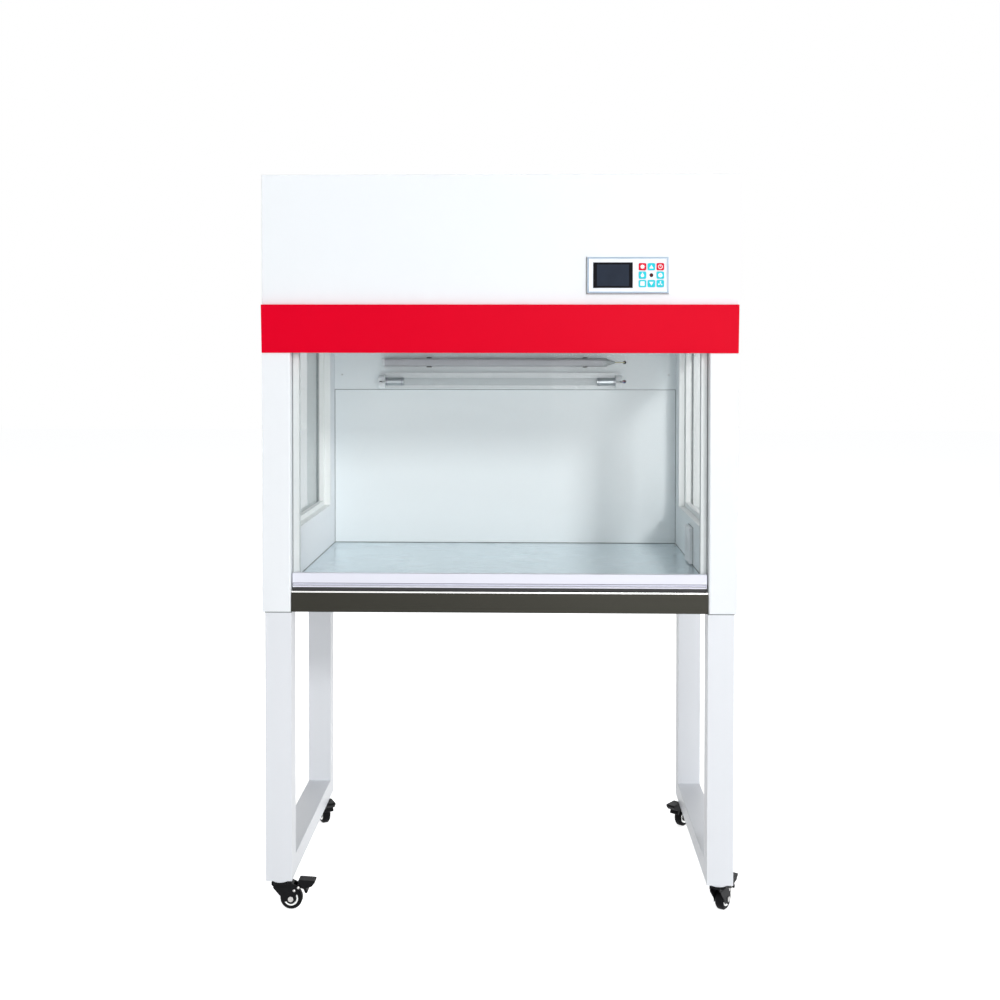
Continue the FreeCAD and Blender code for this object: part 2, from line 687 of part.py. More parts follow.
def top_cover():
    """The lid with its field of intake slots and the rails of the prefilter pad."""
    t = s.sheet
    y_mid = y_front + s.intake_setback
    body = doc.addObject("PartDesign::Body", "lid")
    plate = draw(body, "XY_Plane", [(-half, y_seat), (half, y_seat), (half, y_rear), (-half, y_rear)])
    pad = body.newObject("PartDesign::Pad", "lid_plate")
    pad.Profile = plate
    bind(pad, "Length", t)
    x_slot = -s.slot_pitch_x * (s.slot_columns - 1) / 2 - s.slot_length / 2
    y_slot = y_mid - s.slot_pitch_y * (s.slot_rows - 1) / 2 - s.slot_width / 2
    corners = [
        (x_slot, y_slot),
        (x_slot + s.slot_length, y_slot),
        (x_slot + s.slot_length, y_slot + s.slot_width),
        (x_slot, y_slot + s.slot_width),
    ]
    opening = draw(body, "XY_Plane", corners)
    pocket = body.newObject("PartDesign::Pocket", "lid_slot")
    pocket.Profile = opening
    pocket.Reversed = True
    bind(pocket, "Length", t)
    repeated(body, pocket, opening, s.slot_columns, s.slot_pitch_x, s.slot_rows, s.slot_pitch_y)
    place(body, (0, 0, z_lid))
    rails = []
    z_rail = z_lid - s.pad_thick
    for hand, side in (("left", -1), ("right", 1)):
        x_web = s.pad_width / 2 + s.surface_gap
        y_ends = (y_mid - s.pad_depth / 2, y_mid + s.pad_depth / 2)
        rails.append(
            block(f"{hand}_pad_web", (side * x_web, side * (x_web + t)), y_ends, (z_rail - t, z_lid))
        )
        rails.append(
            block(
                f"{hand}_pad_lip",
                (side * (x_web + t), side * (x_web - s.pad_lip)),
                y_ends,
                (z_rail - t, z_rail),
            )
        )
    piece("top_cover", fuse("lid_whole", body, *rails))
    pad_block = block(
        "pad_block",
        (-s.pad_width / 2, s.pad_width / 2),
        (y_mid - s.pad_depth / 2, y_mid + s.pad_depth / 2),
        (z_rail, z_lid),
    )
    piece("prefilter_pad", pad_block)


def repeated(body, feature, sketch, columns, pitch_x, rows, pitch_y):
    """Repeat a pocket in rows and columns over its own plane."""
    field = body.newObject("PartDesign::MultiTransform", feature.Name + "_field")
    field.Originals = [feature]
    steps = []
    for letter, count, pitch in (("H", columns, pitch_x), ("V", rows, pitch_y)):
        step = body.newObject("PartDesign::LinearPattern", f"{feature.Name}_{letter}")
        step.Direction = (sketch, [f"{letter}_Axis"])
        step.Mode = "Spacing"
        bind(step, "Offset", pitch)
        bind(step, "Occurrences", count)
        steps.append(step)
    field.Transformations = steps
    body.Tip = field


def front_cover():
    """The white tray over the head, with the opening of the control panel."""
    t = s.sheet
    outer = block("cover_block", (-half, half), (y_front, y_seat), (z_cover, z_top))

    def front_edges(edge):
        return abs(edge.CenterOfMass.y - float(y_front)) < 1e-6

    outer = rounded("cover_rounded", outer, s.bezel_round, front_edges)
    hollow = block("cover_hollow", (-half + t, half - t), (y_front + t, y_seat), (z_cover + t, z_lid))
    across = s.bezel_width / 2 - s.bezel_border - s.panel_seat
    up = s.bezel_height / 2 - s.bezel_border - s.panel_seat
    opening = block(
        "cover_opening",
        (x_panel - across, x_panel + across),
        (y_front - overcut, y_seat),
        (z_panel - up, z_panel + up),
    )
    piece("front_cover", cut("cover_whole", outer, hollow, opening))


def fascia_band():
    """The red band: a folded hollow section that leans forwards at its top."""
    t = s.sheet
    outline = [
        (y_seat, z_band),
        (y_front - s.band_foot, z_band),
        (y_front - s.band_proud, z_cover),
        (y_seat, z_cover),
    ]
    inside = [
        (y_seat, z_band + t),
        (y_front - s.band_foot + t, z_band + t),
        (y_front - s.band_proud + t, z_cover - t),
        (y_seat, z_cover - t),
    ]
    outer = extrusion("band_outer", "YZ_Plane", outline, s.width)
    hollow = extrusion("band_hollow", "YZ_Plane", inside, s.width - 2 * t)
    piece("fascia_band", cut("band_whole", outer, hollow))


def base_pan():
    """The shallow stainless box under the chamber, whose front is the apron."""
    t = s.sheet
    x = inner - s.pan_gap
    y = y_front + s.pan_setback
    outer = block("pan_block", (-x, x), (y, y_skin), (z_base, z_pan))
    hollow = block("pan_hollow", (-x + t, x - t), (y + t, y_skin), (z_base + t, z_pan - t))
    piece("base_pan", cut("pan_whole", outer, hollow))


def work_surface():
    """The lift-out stainless top with its edges folded down."""
    t = s.sheet
    x = inner - s.surface_gap
    y, y_end = y_front + s.surface_setback, y_back - s.surface_gap
    outer = block("surface_block", (-x, x), (y, y_end), (z_pan, z_work))

    def front_top(edge):
        middle = edge.CenterOfMass
        return (
            runs_along(edge, "X")
            and abs(middle.y - float(y)) < 1e-6
            and abs(middle.z - float(z_work)) < 1e-6
        )

    outer = rounded("surface_rounded", outer, s.sheet, front_top)
    hollow = block("surface_hollow", (-x + t, x - t), (y + t, y_end - t), (z_pan, z_work - t))
    piece("work_surface", cut("surface_whole", outer, hollow))


def sash_guides():
    """The two grooved strips that the edges of the sash glass run in."""
    guides = []
    fit = s.glass_fit
    for hand, side in (("left", -1), ("right", 1)):
        strip = block(
            f"{hand}_guide_strip",
            (side * x_guide, side * inner),
            (y_guide, y_guide_back),
            (z_pan, z_pulley),
        )
        groove = block(
            f"{hand}_guide_groove",
            (side * (x_guide - overcut), side * (x_glass + fit)),
            (y_glass - fit, y_glass_back + fit),
            (z_pan, z_pulley),
        )
        guides.append(cut(f"{hand}_guide", strip, groove))
    piece("sash_guides", group("guides", *guides))


def sash():
    """The glass with its handle, top rail and bottom seal."""
    glass = block("sash_sheet", (-x_glass, x_glass), (y_glass, y_glass_back), (z_glass, z_glass_top))
    piece("sash_glass", glass)

    fit = s.glass_fit
    z_foot, y_face = z_base + s.handle_rise, y_front + s.handle_setback
    z_lip, z_groove = z_foot + s.handle_lip, z_foot + s.handle_lip + s.groove_height
    y_web = y_face + s.handle_depth
    y_jaw = y_glass_back + fit + s.jaw_thick
    face = [
        (y_face + s.lip_setback, z_foot),
        (y_face + s.lip_setback, z_lip),
        (y_face + s.groove_depth, z_lip),
        (y_face + s.groove_depth, z_groove),
        (y_face, z_groove),
        (y_face, z_foot + s.handle_height),
        (y_web, z_foot + s.handle_height),
        (y_web, z_foot),
    ]
    jaws = [
        (y_web, z_foot),
        (y_jaw, z_foot),
        (y_jaw, z_foot + s.handle_jaw),
        (y_glass_back + fit, z_foot + s.handle_jaw),
        (y_glass_back + fit, z_glass - fit),
        (y_glass - fit, z_glass - fit),
        (y_glass - fit, z_foot + s.handle_jaw),
        (y_web, z_foot + s.handle_jaw),
    ]
    x_handle = inner - s.handle_inset
    bar = extrusion("handle_face", "YZ_Plane", face, 2 * x_handle)

    def front_edges(edge):
        return (
            runs_along(edge, "X")
            and abs(edge.CenterOfMass.y - float(y_face)) < 1e-6
        )

    bar = rounded("handle_rounded", bar, s.sheet, front_edges)
    holder = extrusion("handle_jaws", "YZ_Plane", jaws, 2 * x_slide)
    piece("sash_handle", fuse("handle_whole", bar, holder))

    t = s.rail_wall
    z_rail = z_glass_top - s.rail_height
    section = [
        (y_glass - fit - t, z_rail),
        (y_glass - fit, z_rail),
        (y_glass - fit, z_glass_top + fit),
        (y_glass_back + fit, z_glass_top + fit),
        (y_glass_back + fit, z_rail),
        (y_glass_back + fit + t, z_rail),
        (y_glass_back + fit + t, z_glass_top + fit + t),
        (y_glass - fit - t, z_glass_top + fit + t),
    ]
    rail = extrusion("rail_section", "YZ_Plane", section, 2 * x_slide)
    ears = []
    for hand, side in (("left", -1), ("right", 1)):
        z_ear = z_glass_top - s.ear_drop
        ears.append(
            block(
                f"{hand}_ear",
                (side * (x_slide - s.ear_width), side * x_slide),
                (y_glass_back + fit + t, y_pulley + 2 * s.cable_radius),
                (z_ear, z_ear + s.ear_height),
            )
        )
    piece("sash_top_rail", fuse("rail_whole", rail, *ears))

    y_seal = y_face + s.seal_setback
    seal = block(
        "seal_strip", (-x_handle, x_handle), (y_seal, y_seal + s.seal_depth), (z_pan + s.rest_gap, z_foot)
    )
    piece("sash_seal", seal)


def balance():
    """Pulleys, counterweights and the straight runs of their cables.

    The turn of cable in a pulley's groove has a six-sided section and lies on the groove's bottom.
    """
    z_ear_top = z_glass_top - s.ear_drop + s.ear_height
    z_weight = z_pulley - s.weight_drop
    sash_runs, weight_runs = [], []
    for hand, side in (("left", -1), ("right", 1)):
        half_width, half_groove = s.pulley_width / 2, s.pulley_groove / 2
        bottom = s.pulley_pitch - s.cable_radius
        section = [
            (-half_width, s.pulley_pin + s.running_gap),
            (half_width, s.pulley_pin + s.running_gap),
            (half_width, s.pulley_flange),
            (half_groove, s.pulley_flange),
            (half_groove, bottom),
            (-half_groove, bottom),
            (-half_groove, s.pulley_flange),
            (-half_width, s.pulley_flange),
        ]
        wheel = turned(f"{hand}_sheave", section)
        corners = [math.radians(QUARTER + 60 * i) for i in range(6)]
        strand = [
            (s.cable_radius * math.cos(a), s.pulley_pitch + s.cable_radius * math.sin(a))
            for a in corners
        ]
        winding = turned(f"{hand}_winding", strand)
        whole = group(f"{hand}_pulley_whole", wheel, winding)
        place(whole, (side * x_pulley, y_pulley, z_pulley))
        piece(f"{hand}_pulley", whole)

        block_z = (z_weight - s.weight_height, z_weight)
        x_mid = s.weight_width / 2
        y_mid = s.weight_depth / 2
        y_hang = y_pulley + s.cable_pitch
        iron = block(
            f"{hand}_iron",
            (side * x_weight - x_mid, side * x_weight + x_mid),
            (y_hang - y_mid, y_hang + y_mid),
            block_z,
        )
        iron = rounded(
            f"{hand}_iron_edges",
            iron,
            s.weight_chamfer,
            lambda edge: runs_along(edge, "Z"),
            "Part::Chamfer",
        )
        piece(f"{hand}_counterweight", iron)

        sash_runs.append(
            rod(
                f"{hand}_sash_run",
                s.cable_radius,
                (side * x_cable, y_pulley - s.cable_pitch, z_ear_top),
                z_pulley - z_ear_top,
            )
        )
        weight_runs.append(
            rod(
                f"{hand}_weight_run",
                s.cable_radius,
                (side * x_weight, y_hang, z_weight),
                z_pulley - z_weight,
            )
        )
    piece("sash_cables", group("sash_runs", *sash_runs))
    piece("counterweight_cables", group("weight_runs", *weight_runs))


def fan_deck():
    """The pressure box that carries the fan on top and holds the filter inside."""
    t = s.sheet
    y, y_end = y_front + s.deck_setback, y_back - t
    roof = block("deck_roof", (-inner, inner), (y, y_skin), (z_deck - t, z_deck))
    box = block("deck_box", (-inner, inner), (y, y_end), (z_ledge, z_deck))
    hollow = block("deck_hollow", (-inner + t, inner - t), (y + t, y_end - t), (z_filter, z_deck - t))
    w = s.ledge_width
    mouth = block("deck_mouth", (-inner + w, inner - w), (y + w, y_end - w), (z_ledge, z_filter))
    y_fan = y_front + s.fan_setback
    x_out = s.volute_width / 2 - t
    y_out_end = y_fan + s.volute_growth + outlet_radius() - t
    y_out = y_fan + s.volute_growth + outlet_radius() - s.outlet_depth + t
    outlet = block("deck_outlet", (-x_out, x_out), (y_out, y_out_end), (z_deck - t, z_deck))
    piece("fan_deck", cut("deck_whole", fuse("deck_solid", roof, box), hollow, mouth, outlet))


def outlet_radius():
    """The scroll's radius where it meets the outlet."""
    return s.volute_radius + 2 * s.volute_growth


def filter_and_diffuser():
    """The pleated filter in its frame, and the grid under it."""
    t, gap, rim = s.sheet, s.filter_gap, s.filter_frame
    x = inner - t - gap
    y, y_end = y_front + s.deck_setback + t + gap, y_back - 2 * t - gap
    z_end = z_filter + s.filter_height
    frame_block = block("filter_block", (-x, x), (y, y_end), (z_filter, z_end))
    frame_hole = block("filter_hole", (-x + rim, x - rim), (y + rim, y_end - rim), (z_filter, z_end))
    frame = cut("filter_surround", frame_block, frame_hole)

    count = int((float(x) - float(rim)) * 2 / float(s.pleat_pitch))
    low = float(z_filter + (s.filter_height - s.pleat_height) / 2)
    high = low + float(s.pleat_height - s.pleat_paper)
    paper = float(s.pleat_paper)
    start = -float(x) + float(rim)
    pitch = 2 * -start / count
    folds = []
    for i in range(count):
        folds += [(start + i * pitch, low), (start + (i + 0.5) * pitch, high)]
    folds.append((-start, low))
    edge = [Vector(u, float(y + rim), v) for u, v in folds]
    edge += [Vector(u, float(y + rim), v + paper) for u, v in reversed(folds)]
    edge.append(edge[0])
    run = Vector(0, float(y_end - rim - (y + rim)), 0)
    paper_pack = solid("pleats", Part.Face(Part.makePolygon(edge)).extrude(run))
    piece("hepa_filter", group("filter_whole", frame, paper_pack))

    cell, bar, border = s.diffuser_cell, s.diffuser_bar, s.diffuser_border
    pitch = float(cell + bar)
    x_grid, y_grid = inner - t, y_front + s.deck_setback
    columns = int((2 * float(x_grid - border) + float(bar)) / pitch)
    rows = int((float(y_back - t - y_grid) - 2 * float(border) + float(bar)) / pitch)
    body = doc.addObject("PartDesign::Body", "grid")
    y_far = y_back - t
    sheet = draw(body, "XY_Plane", [(-x_grid, y_grid), (x_grid, y_grid), (x_grid, y_far), (-x_grid, y_far)])
    pad = body.newObject("PartDesign::Pad", "grid_plate")
    pad.Profile = sheet
    bind(pad, "Length", s.diffuser_thick)
    x_cell = -(columns * (cell + bar) - bar) / 2
    y_cell = (y_grid + y_far) / 2 - (rows * (cell + bar) - bar) / 2
    x_cell_end, y_cell_end = x_cell + cell, y_cell + cell
    corners = [(x_cell, y_cell), (x_cell_end, y_cell), (x_cell_end, y_cell_end), (x_cell, y_cell_end)]
    opening = draw(body, "XY_Plane", corners)
    pocket = body.newObject("PartDesign::Pocket", "grid_cell")
    pocket.Profile = opening
    pocket.Reversed = True
    bind(pocket, "Length", s.diffuser_thick)
    repeated(body, pocket, opening, columns, cell + bar, rows, cell + bar)
    place(body, (0, 0, z_ledge - s.diffuser_thick))
    piece("diffuser_grid", body)


def volute(inset, y_mid, z_mid, z_foot):
    """The outline of the scroll: three quarter circles that grow, and a straight outlet."""
    growth = float(s.volute_growth)
    centres = [(y_mid, z_mid), (y_mid + growth, z_mid), (y_mid + growth, z_mid - growth)]
    edges, ends = [], []
    for turn, (y_centre, z_centre) in enumerate(centres):
        radius = float(s.volute_radius) + turn * growth - inset
        first = -(turn + 1) * QUARTER
        angles = [math.radians(first - step) for step in (0, QUARTER / 2, QUARTER)]
        spots = [
            Vector(0, y_centre + radius * math.cos(a), z_centre + radius * math.sin(a)) for a in angles
        ]
        edges.append(Part.Arc(*spots).toShape())
        ends.append((spots[0], spots[-1]))
    start, last = ends[0][0], ends[-1][1]
    y_inner = last.y - float(s.outlet_depth) + 2 * inset
    corners = [last, Vector(0, last.y, z_foot), Vector(0, y_inner, z_foot)]
    corners += [Vector(0, y_inner, start.z), start]
    for a, b in zip(corners, corners[1:]):
        edges.append(Part.LineSegment(a, b).toShape())
    return Part.Face(Part.Wire(Part.__sortEdges__(edges)))


def cylinder(radius, x, length):
    """A cylinder along the fan's shaft, from x on."""
    return Part.makeCylinder(float(radius), length, Vector(x, 0, 0), AXES["X"])


def curved_blade(length):
    """One forward-curved blade of the impeller, as an arc with a thickness."""
    r_root = float(s.fan_radius - (s.fan_ring + s.blade_chord) / 2)
    r_tip = r_root + float(s.blade_chord)
    lead, thick = math.radians(float(s.blade_lead)), float(s.blade_thick)
    root = Vector(0, r_root, 0)
    tip = Vector(0, r_tip * math.cos(lead), r_tip * math.sin(lead))
    chord = tip - root
    side = Vector(0, -chord.z, chord.y).normalize()
    middle = (root + tip) / 2 - side * float(s.blade_bow)
    shift = side * thick
    edges = [
        Part.Arc(root, middle, tip).toShape(),
        Part.LineSegment(tip, tip + shift).toShape(),
        Part.Arc(tip + shift, middle + shift, root + shift).toShape(),
        Part.LineSegment(root + shift, root).toShape(),
    ]
    blade = Part.Face(Part.Wire(edges)).extrude(Vector(length, 0, 0))
    blade.translate(Vector(-length / 2, 0, 0))
    return blade


def scroll(y_fan, z_fan):
    """The fan's scroll housing with its two inlets and its outlet flange."""
    t, wide, z_foot = float(s.sheet), float(s.volute_width), float(z_deck)
    outer = volute(0, y_fan, z_fan, z_foot).extrude(Vector(wide, 0, 0))
    hollow = volute(t, y_fan, z_fan, z_foot).extrude(Vector(wide - 2 * t, 0, 0))
    outer.translate(Vector(-wide / 2, 0, 0))
    hollow.translate(Vector(-wide / 2 + t, 0, 0))
    inlets = cylinder(s.inlet_radius, -wide / 2, wide)
    inlets.translate(Vector(0, y_fan, z_fan))
    rim, depth = float(s.outlet_flange), float(s.outlet_depth)
    y_out = outer.BoundBox.YMax - depth
    flange = Part.makeBox(
        wide + 2 * rim, depth + 2 * rim, t, Vector(-wide / 2 - rim, y_out - rim, z_foot)
    )
    duct = Part.makeBox(wide - 2 * t, depth - 2 * t, t, Vector(-wide / 2 + t, y_out + t, z_foot))
    housing = outer.fuse(flange).cut([hollow, inlets, duct]).removeSplitter()
    piece("blower_scroll", solid("scroll", housing))


def impeller(y_fan, z_fan):
    """The impeller: a web on a hub, a ring at each end and a row of curved blades."""
    length, disc = float(s.fan_width), float(s.fan_disc)
    r_ring = s.fan_radius - s.fan_ring
    rings = [cylinder(s.fan_radius, x, disc) for x in (-length / 2, length / 2 - disc)]
    rings = [ring.cut(cylinder(r_ring, -length / 2, length)) for ring in rings]
    x_web = float(s.fan_web)
    web = cylinder(s.fan_radius - s.fan_ring / 2, x_web, disc)
    hub = cylinder(s.hub_radius, x_web, float(s.fan_hub))
    blade = curved_blade(length - disc)
    count = int(float(s.blade_count))
    blades = []
    for number in range(count):
        copy = blade.copy()
        copy.rotate(Vector(), AXES["X"], number * 4 * QUARTER / count)
        blades.append(copy)
    wheel = web.fuse([hub] + rings + blades)
    wheel = wheel.cut(cylinder(s.shaft_radius + s.running_gap, -length / 2, length))
    wheel.translate(Vector(0, y_fan, z_fan))
    piece("blower_impeller", solid("impeller", wheel))


def motor(y_fan, z_fan):
    """The motor inside the impeller, on a cross of arms over the left inlet."""
    t, disc, length = float(s.sheet), float(s.fan_disc), float(s.motor_length)
    x_inlet = -float(s.volute_width) / 2 + t
    x_motor = float(s.fan_web) - disc - length
    body = cylinder(s.motor_radius, x_motor, length)
    body = body.makeChamfer(disc, [edge for edge in body.Edges if edge.Curve.TypeId == "Part::GeomCircle"])
    shaft = cylinder(s.shaft_radius, x_motor, float(s.fan_web + s.fan_hub + s.sheet) - x_motor)
    arm = float(s.motor_arm)
    reach = float(s.inlet_radius) + arm
    spider = Part.makeBox(t, 2 * reach, arm, Vector(x_inlet - 2 * t, -reach, -arm / 2))
    cross = spider.copy()
    cross.rotate(Vector(), AXES["X"], QUARTER)
    neck = cylinder(2 * s.motor_arm, x_inlet - 2 * t, x_motor - x_inlet + 2 * t)
    body = body.fuse([shaft, spider, cross, neck]).removeSplitter()
    body.translate(Vector(0, y_fan, z_fan))
    piece("blower_motor", solid("motor", body))


def blower():
    """A double-inlet fan: scroll, impeller with curved blades, and motor."""
    y_fan = float(y_front + s.fan_setback)
    z_fan = float(z_deck + s.volute_radius + s.volute_lift)
    scroll(y_fan, z_fan)
    impeller(y_fan, z_fan)
    motor(y_fan, z_fan)


def rounded_block(name, x, y, z, radius):
    """A box whose edges that run front to back are rounded."""
    return rounded(name + "_rounded", block(name, x, y, z), radius, lambda edge: runs_along(edge, "Y"))


KEY_NAMES = [
    ["lamp_key", "up_key", "power_key"],
    ["timer_key", None, "clock_key"],
    ["socket_key", "down_key", "fan_key"],
]


def control_panel():
    """Bezel, keypad plate, display, eight keys and the board behind them."""
    x_mid, z_mid = x_panel, z_panel
    b = s.bezel_border
    x_in, z_in = s.bezel_width / 2 - b, s.bezel_height / 2 - b
    y_face = y_front - s.plate_thick
    bezel_block = block(
        "bezel_block",
        (x_mid - s.bezel_width / 2, x_mid + s.bezel_width / 2),
        (y_front - s.bezel_proud, y_front),
        (z_mid - s.bezel_height / 2, z_mid + s.bezel_height / 2),
    )

    def outside(edge):
        return not abs(edge.CenterOfMass.y - float(y_front)) < 1e-6

    bezel_block = rounded("bezel_rounded", bezel_block, s.bezel_round, outside)
    mouth = rounded_block(
        "bezel_mouth",
        (x_mid - x_in, x_mid + x_in),
        (y_front - s.bezel_proud, y_front),
        (z_mid - z_in, z_mid + z_in),
        s.key_round,
    )
    piece("control_bezel", cut("bezel_whole", bezel_block, mouth))

    plate = rounded_block(
        "plate_block",
        (x_mid - x_in, x_mid + x_in),
        (y_face, y_front),
        (z_mid - z_in, z_mid + z_in),
        s.key_round,
    )
    x_screen = x_mid - s.screen_shift
    screen_x = (x_screen - s.screen_width / 2, x_screen + s.screen_width / 2)
    screen_z = (z_mid - s.screen_height / 2, z_mid + s.screen_height / 2)
    y_seat_end = y_face + s.screen_seat
    holes = [block("screen_seat", screen_x, (y_face, y_seat_end), screen_z)]
    switches = []
    y_board = y_front + s.board_setback
    gap, flange = s.key_gap, s.key_flange
    for row, names in enumerate(KEY_NAMES):
        for column, name in enumerate(names):
            if name is None:
                continue
            x = x_mid + s.key_shift + (column - 1) * s.key_pitch_x
            z = z_mid + (1 - row) * s.key_pitch_y
            w, h = s.key_width / 2, s.key_height / 2
            holes.append(
                rounded_block(
                    f"{name}_hole",
                    (x - w - gap, x + w + gap),
                    (y_face, y_front),
                    (z - h - gap, z + h + gap),
                    s.key_round + gap,
                )
            )
            cap = rounded_block(
                f"{name}_cap",
                (x - w, x + w),
                (y_face - s.key_proud, y_front + gap),
                (z - h, z + h),
                s.key_round,
            )
            rim = block(
                f"{name}_rim",
                (x - w - flange, x + w + flange),
                (y_front + gap, y_front + gap + flange),
                (z - h - flange, z + h + flange),
            )
            y_stem = y_front + gap + flange
            y_switch = y_board - s.switch_height
            long = y_switch - y_stem - s.key_travel - gap
            stem = rod(f"{name}_stem", s.key_stem, (x, y_stem, z), long, "Y")
            piece(name, fuse(f"{name}_whole", cap, rim, stem))
            side = s.switch_side / 2
            switch_x, switch_z = (x - side, x + side), (z - side, z + side)
            switches.append(block(f"{name}_switch", switch_x, (y_switch, y_board), switch_z))
    plate = cut("plate_cut", plate, *holes)
    standoffs = []
    x_left = x_mid - s.board_width / 2 + 2 * s.post_radius
    x_column = x_mid + s.key_shift
    x_between = (x_screen + s.screen_width / 2 + x_column - s.key_pitch_x - s.key_width / 2 - flange) / 2
    z_out = s.board_height / 2 - 2 * s.post_radius
    spots = [
        (x_left, z_mid - z_out),
        (x_left, z_mid + z_out),
        (x_between, z_mid - z_out),
        (x_between, z_mid + z_out),
        (x_column, z_mid),
    ]
    for number, (x, z) in enumerate(spots):
        standoffs.append(rod(f"standoff_{number}", s.post_radius, (x, y_front, z), s.board_setback, "Y"))
    piece("keypad_plate", fuse("plate_whole", plate, *standoffs))
    screen_y = (y_face - s.screen_proud, y_seat_end)
    piece("display_screen", block("screen_block", screen_x, screen_y, screen_z))
    board = block(
        "board_sheet",
        (x_mid - s.board_width / 2, x_mid + s.board_width / 2),
        (y_board, y_board + s.board_thick),
        (z_mid - s.board_height / 2, z_mid + s.board_height / 2),
    )
    piece("control_board", fuse("board_whole", board, *switches))


def bent_lead(name, radius, start, corner, end, bend):
    """A short lead: a straight run, one tangent bend, and a run into its hole."""
    a, b, c = [Vector(*[float(v) for v in spot]) for spot in (start, corner, end)]
    u, v = (a - b).normalize(), (c - b).normalize()
    turn = math.pi - u.getAngle(v)
    back = float(bend) * math.tan(turn / 2)
    p, q = b + u * back, b + v * back
    towards = (u + v).normalize()
    centre = b + towards * (float(bend) / math.cos(turn / 2))
    middle = centre - towards * float(bend)
    edges = [
        Part.LineSegment(a, p).toShape(),
        Part.Arc(p, middle, q).toShape(),
        Part.LineSegment(q, c).toShape(),
    ]
    path = Part.Wire(edges)
    ring = Part.Wire(Part.makeCircle(float(radius), a, b - a))
    return solid(name, path.makePipeShell([ring], True, False))


def led_batten():
    """The LED batten with its caps, clips, tapered plug and lead."""
    x_mid, z_mid = -s.lamp_middle, z_batten
    y_panel = y_back - s.sheet
    y_face = y_panel - s.batten_depth
    y_foot = y_panel - s.clip_thick
    l, h = s.batten_length / 2, s.batten_height / 2

    def front_edges(edge):
        return runs_along(edge, "X") and abs(edge.CenterOfMass.y - float(y_face)) < 1e-6

    tube = block("batten_block", (x_mid - l, x_mid + l), (y_face, y_foot), (z_mid - h, z_mid + h))
    tube = rounded("batten_rounded", tube, s.batten_round, front_edges)
    parts = [tube]
    for hand, side in (("left", -1), ("right", 1)):
        near, far = x_mid + side * l, x_mid + side * (l + s.batten_cap)
        cap = block(f"{hand}_batten_cap", (near, far), (y_face, y_foot), (z_mid - h, z_mid + h))
        parts.append(rounded(f"{hand}_batten_cap_rounded", cap, s.batten_round, front_edges))
        x_clip = x_mid + side * s.clip_shift
        w, t = s.clip_width / 2, s.clip_thick
        clip_x = (x_clip - w, x_clip + w)
        clip_y = (y_face + s.batten_round, y_panel)
        wide = block(f"{hand}_clip_block", clip_x, clip_y, (z_mid - h - t, z_mid + h + t))
        room = block(f"{hand}_clip_room", clip_x, (y_face, y_foot), (z_mid - h, z_mid + h))
        parts.append(cut(f"{hand}_clip", wide, room))
    x_end = x_mid + l + s.batten_cap
    y_plug = y_panel - s.batten_depth / 2
    plug = doc.addObject("Part::Cone", "batten_plug")
    bind(plug, "Radius1", s.plug_radius)
    bind(plug, "Radius2", s.plug_tip)
    bind(plug, "Height", s.plug_length)
    parts.append(place(plug, (x_end, y_plug, z_mid), "Y", 90))
    x_tip = x_end + s.plug_length
    parts.append(
        bent_lead(
            "batten_lead",
            s.lead_radius,
            (x_tip, y_plug, z_mid),
            (s.hole_offset, y_plug, z_mid),
            (s.hole_offset, y_back + s.sheet, z_mid),
            s.lead_bend,
        )
    )
    piece("led_batten", group("batten_whole", *parts))


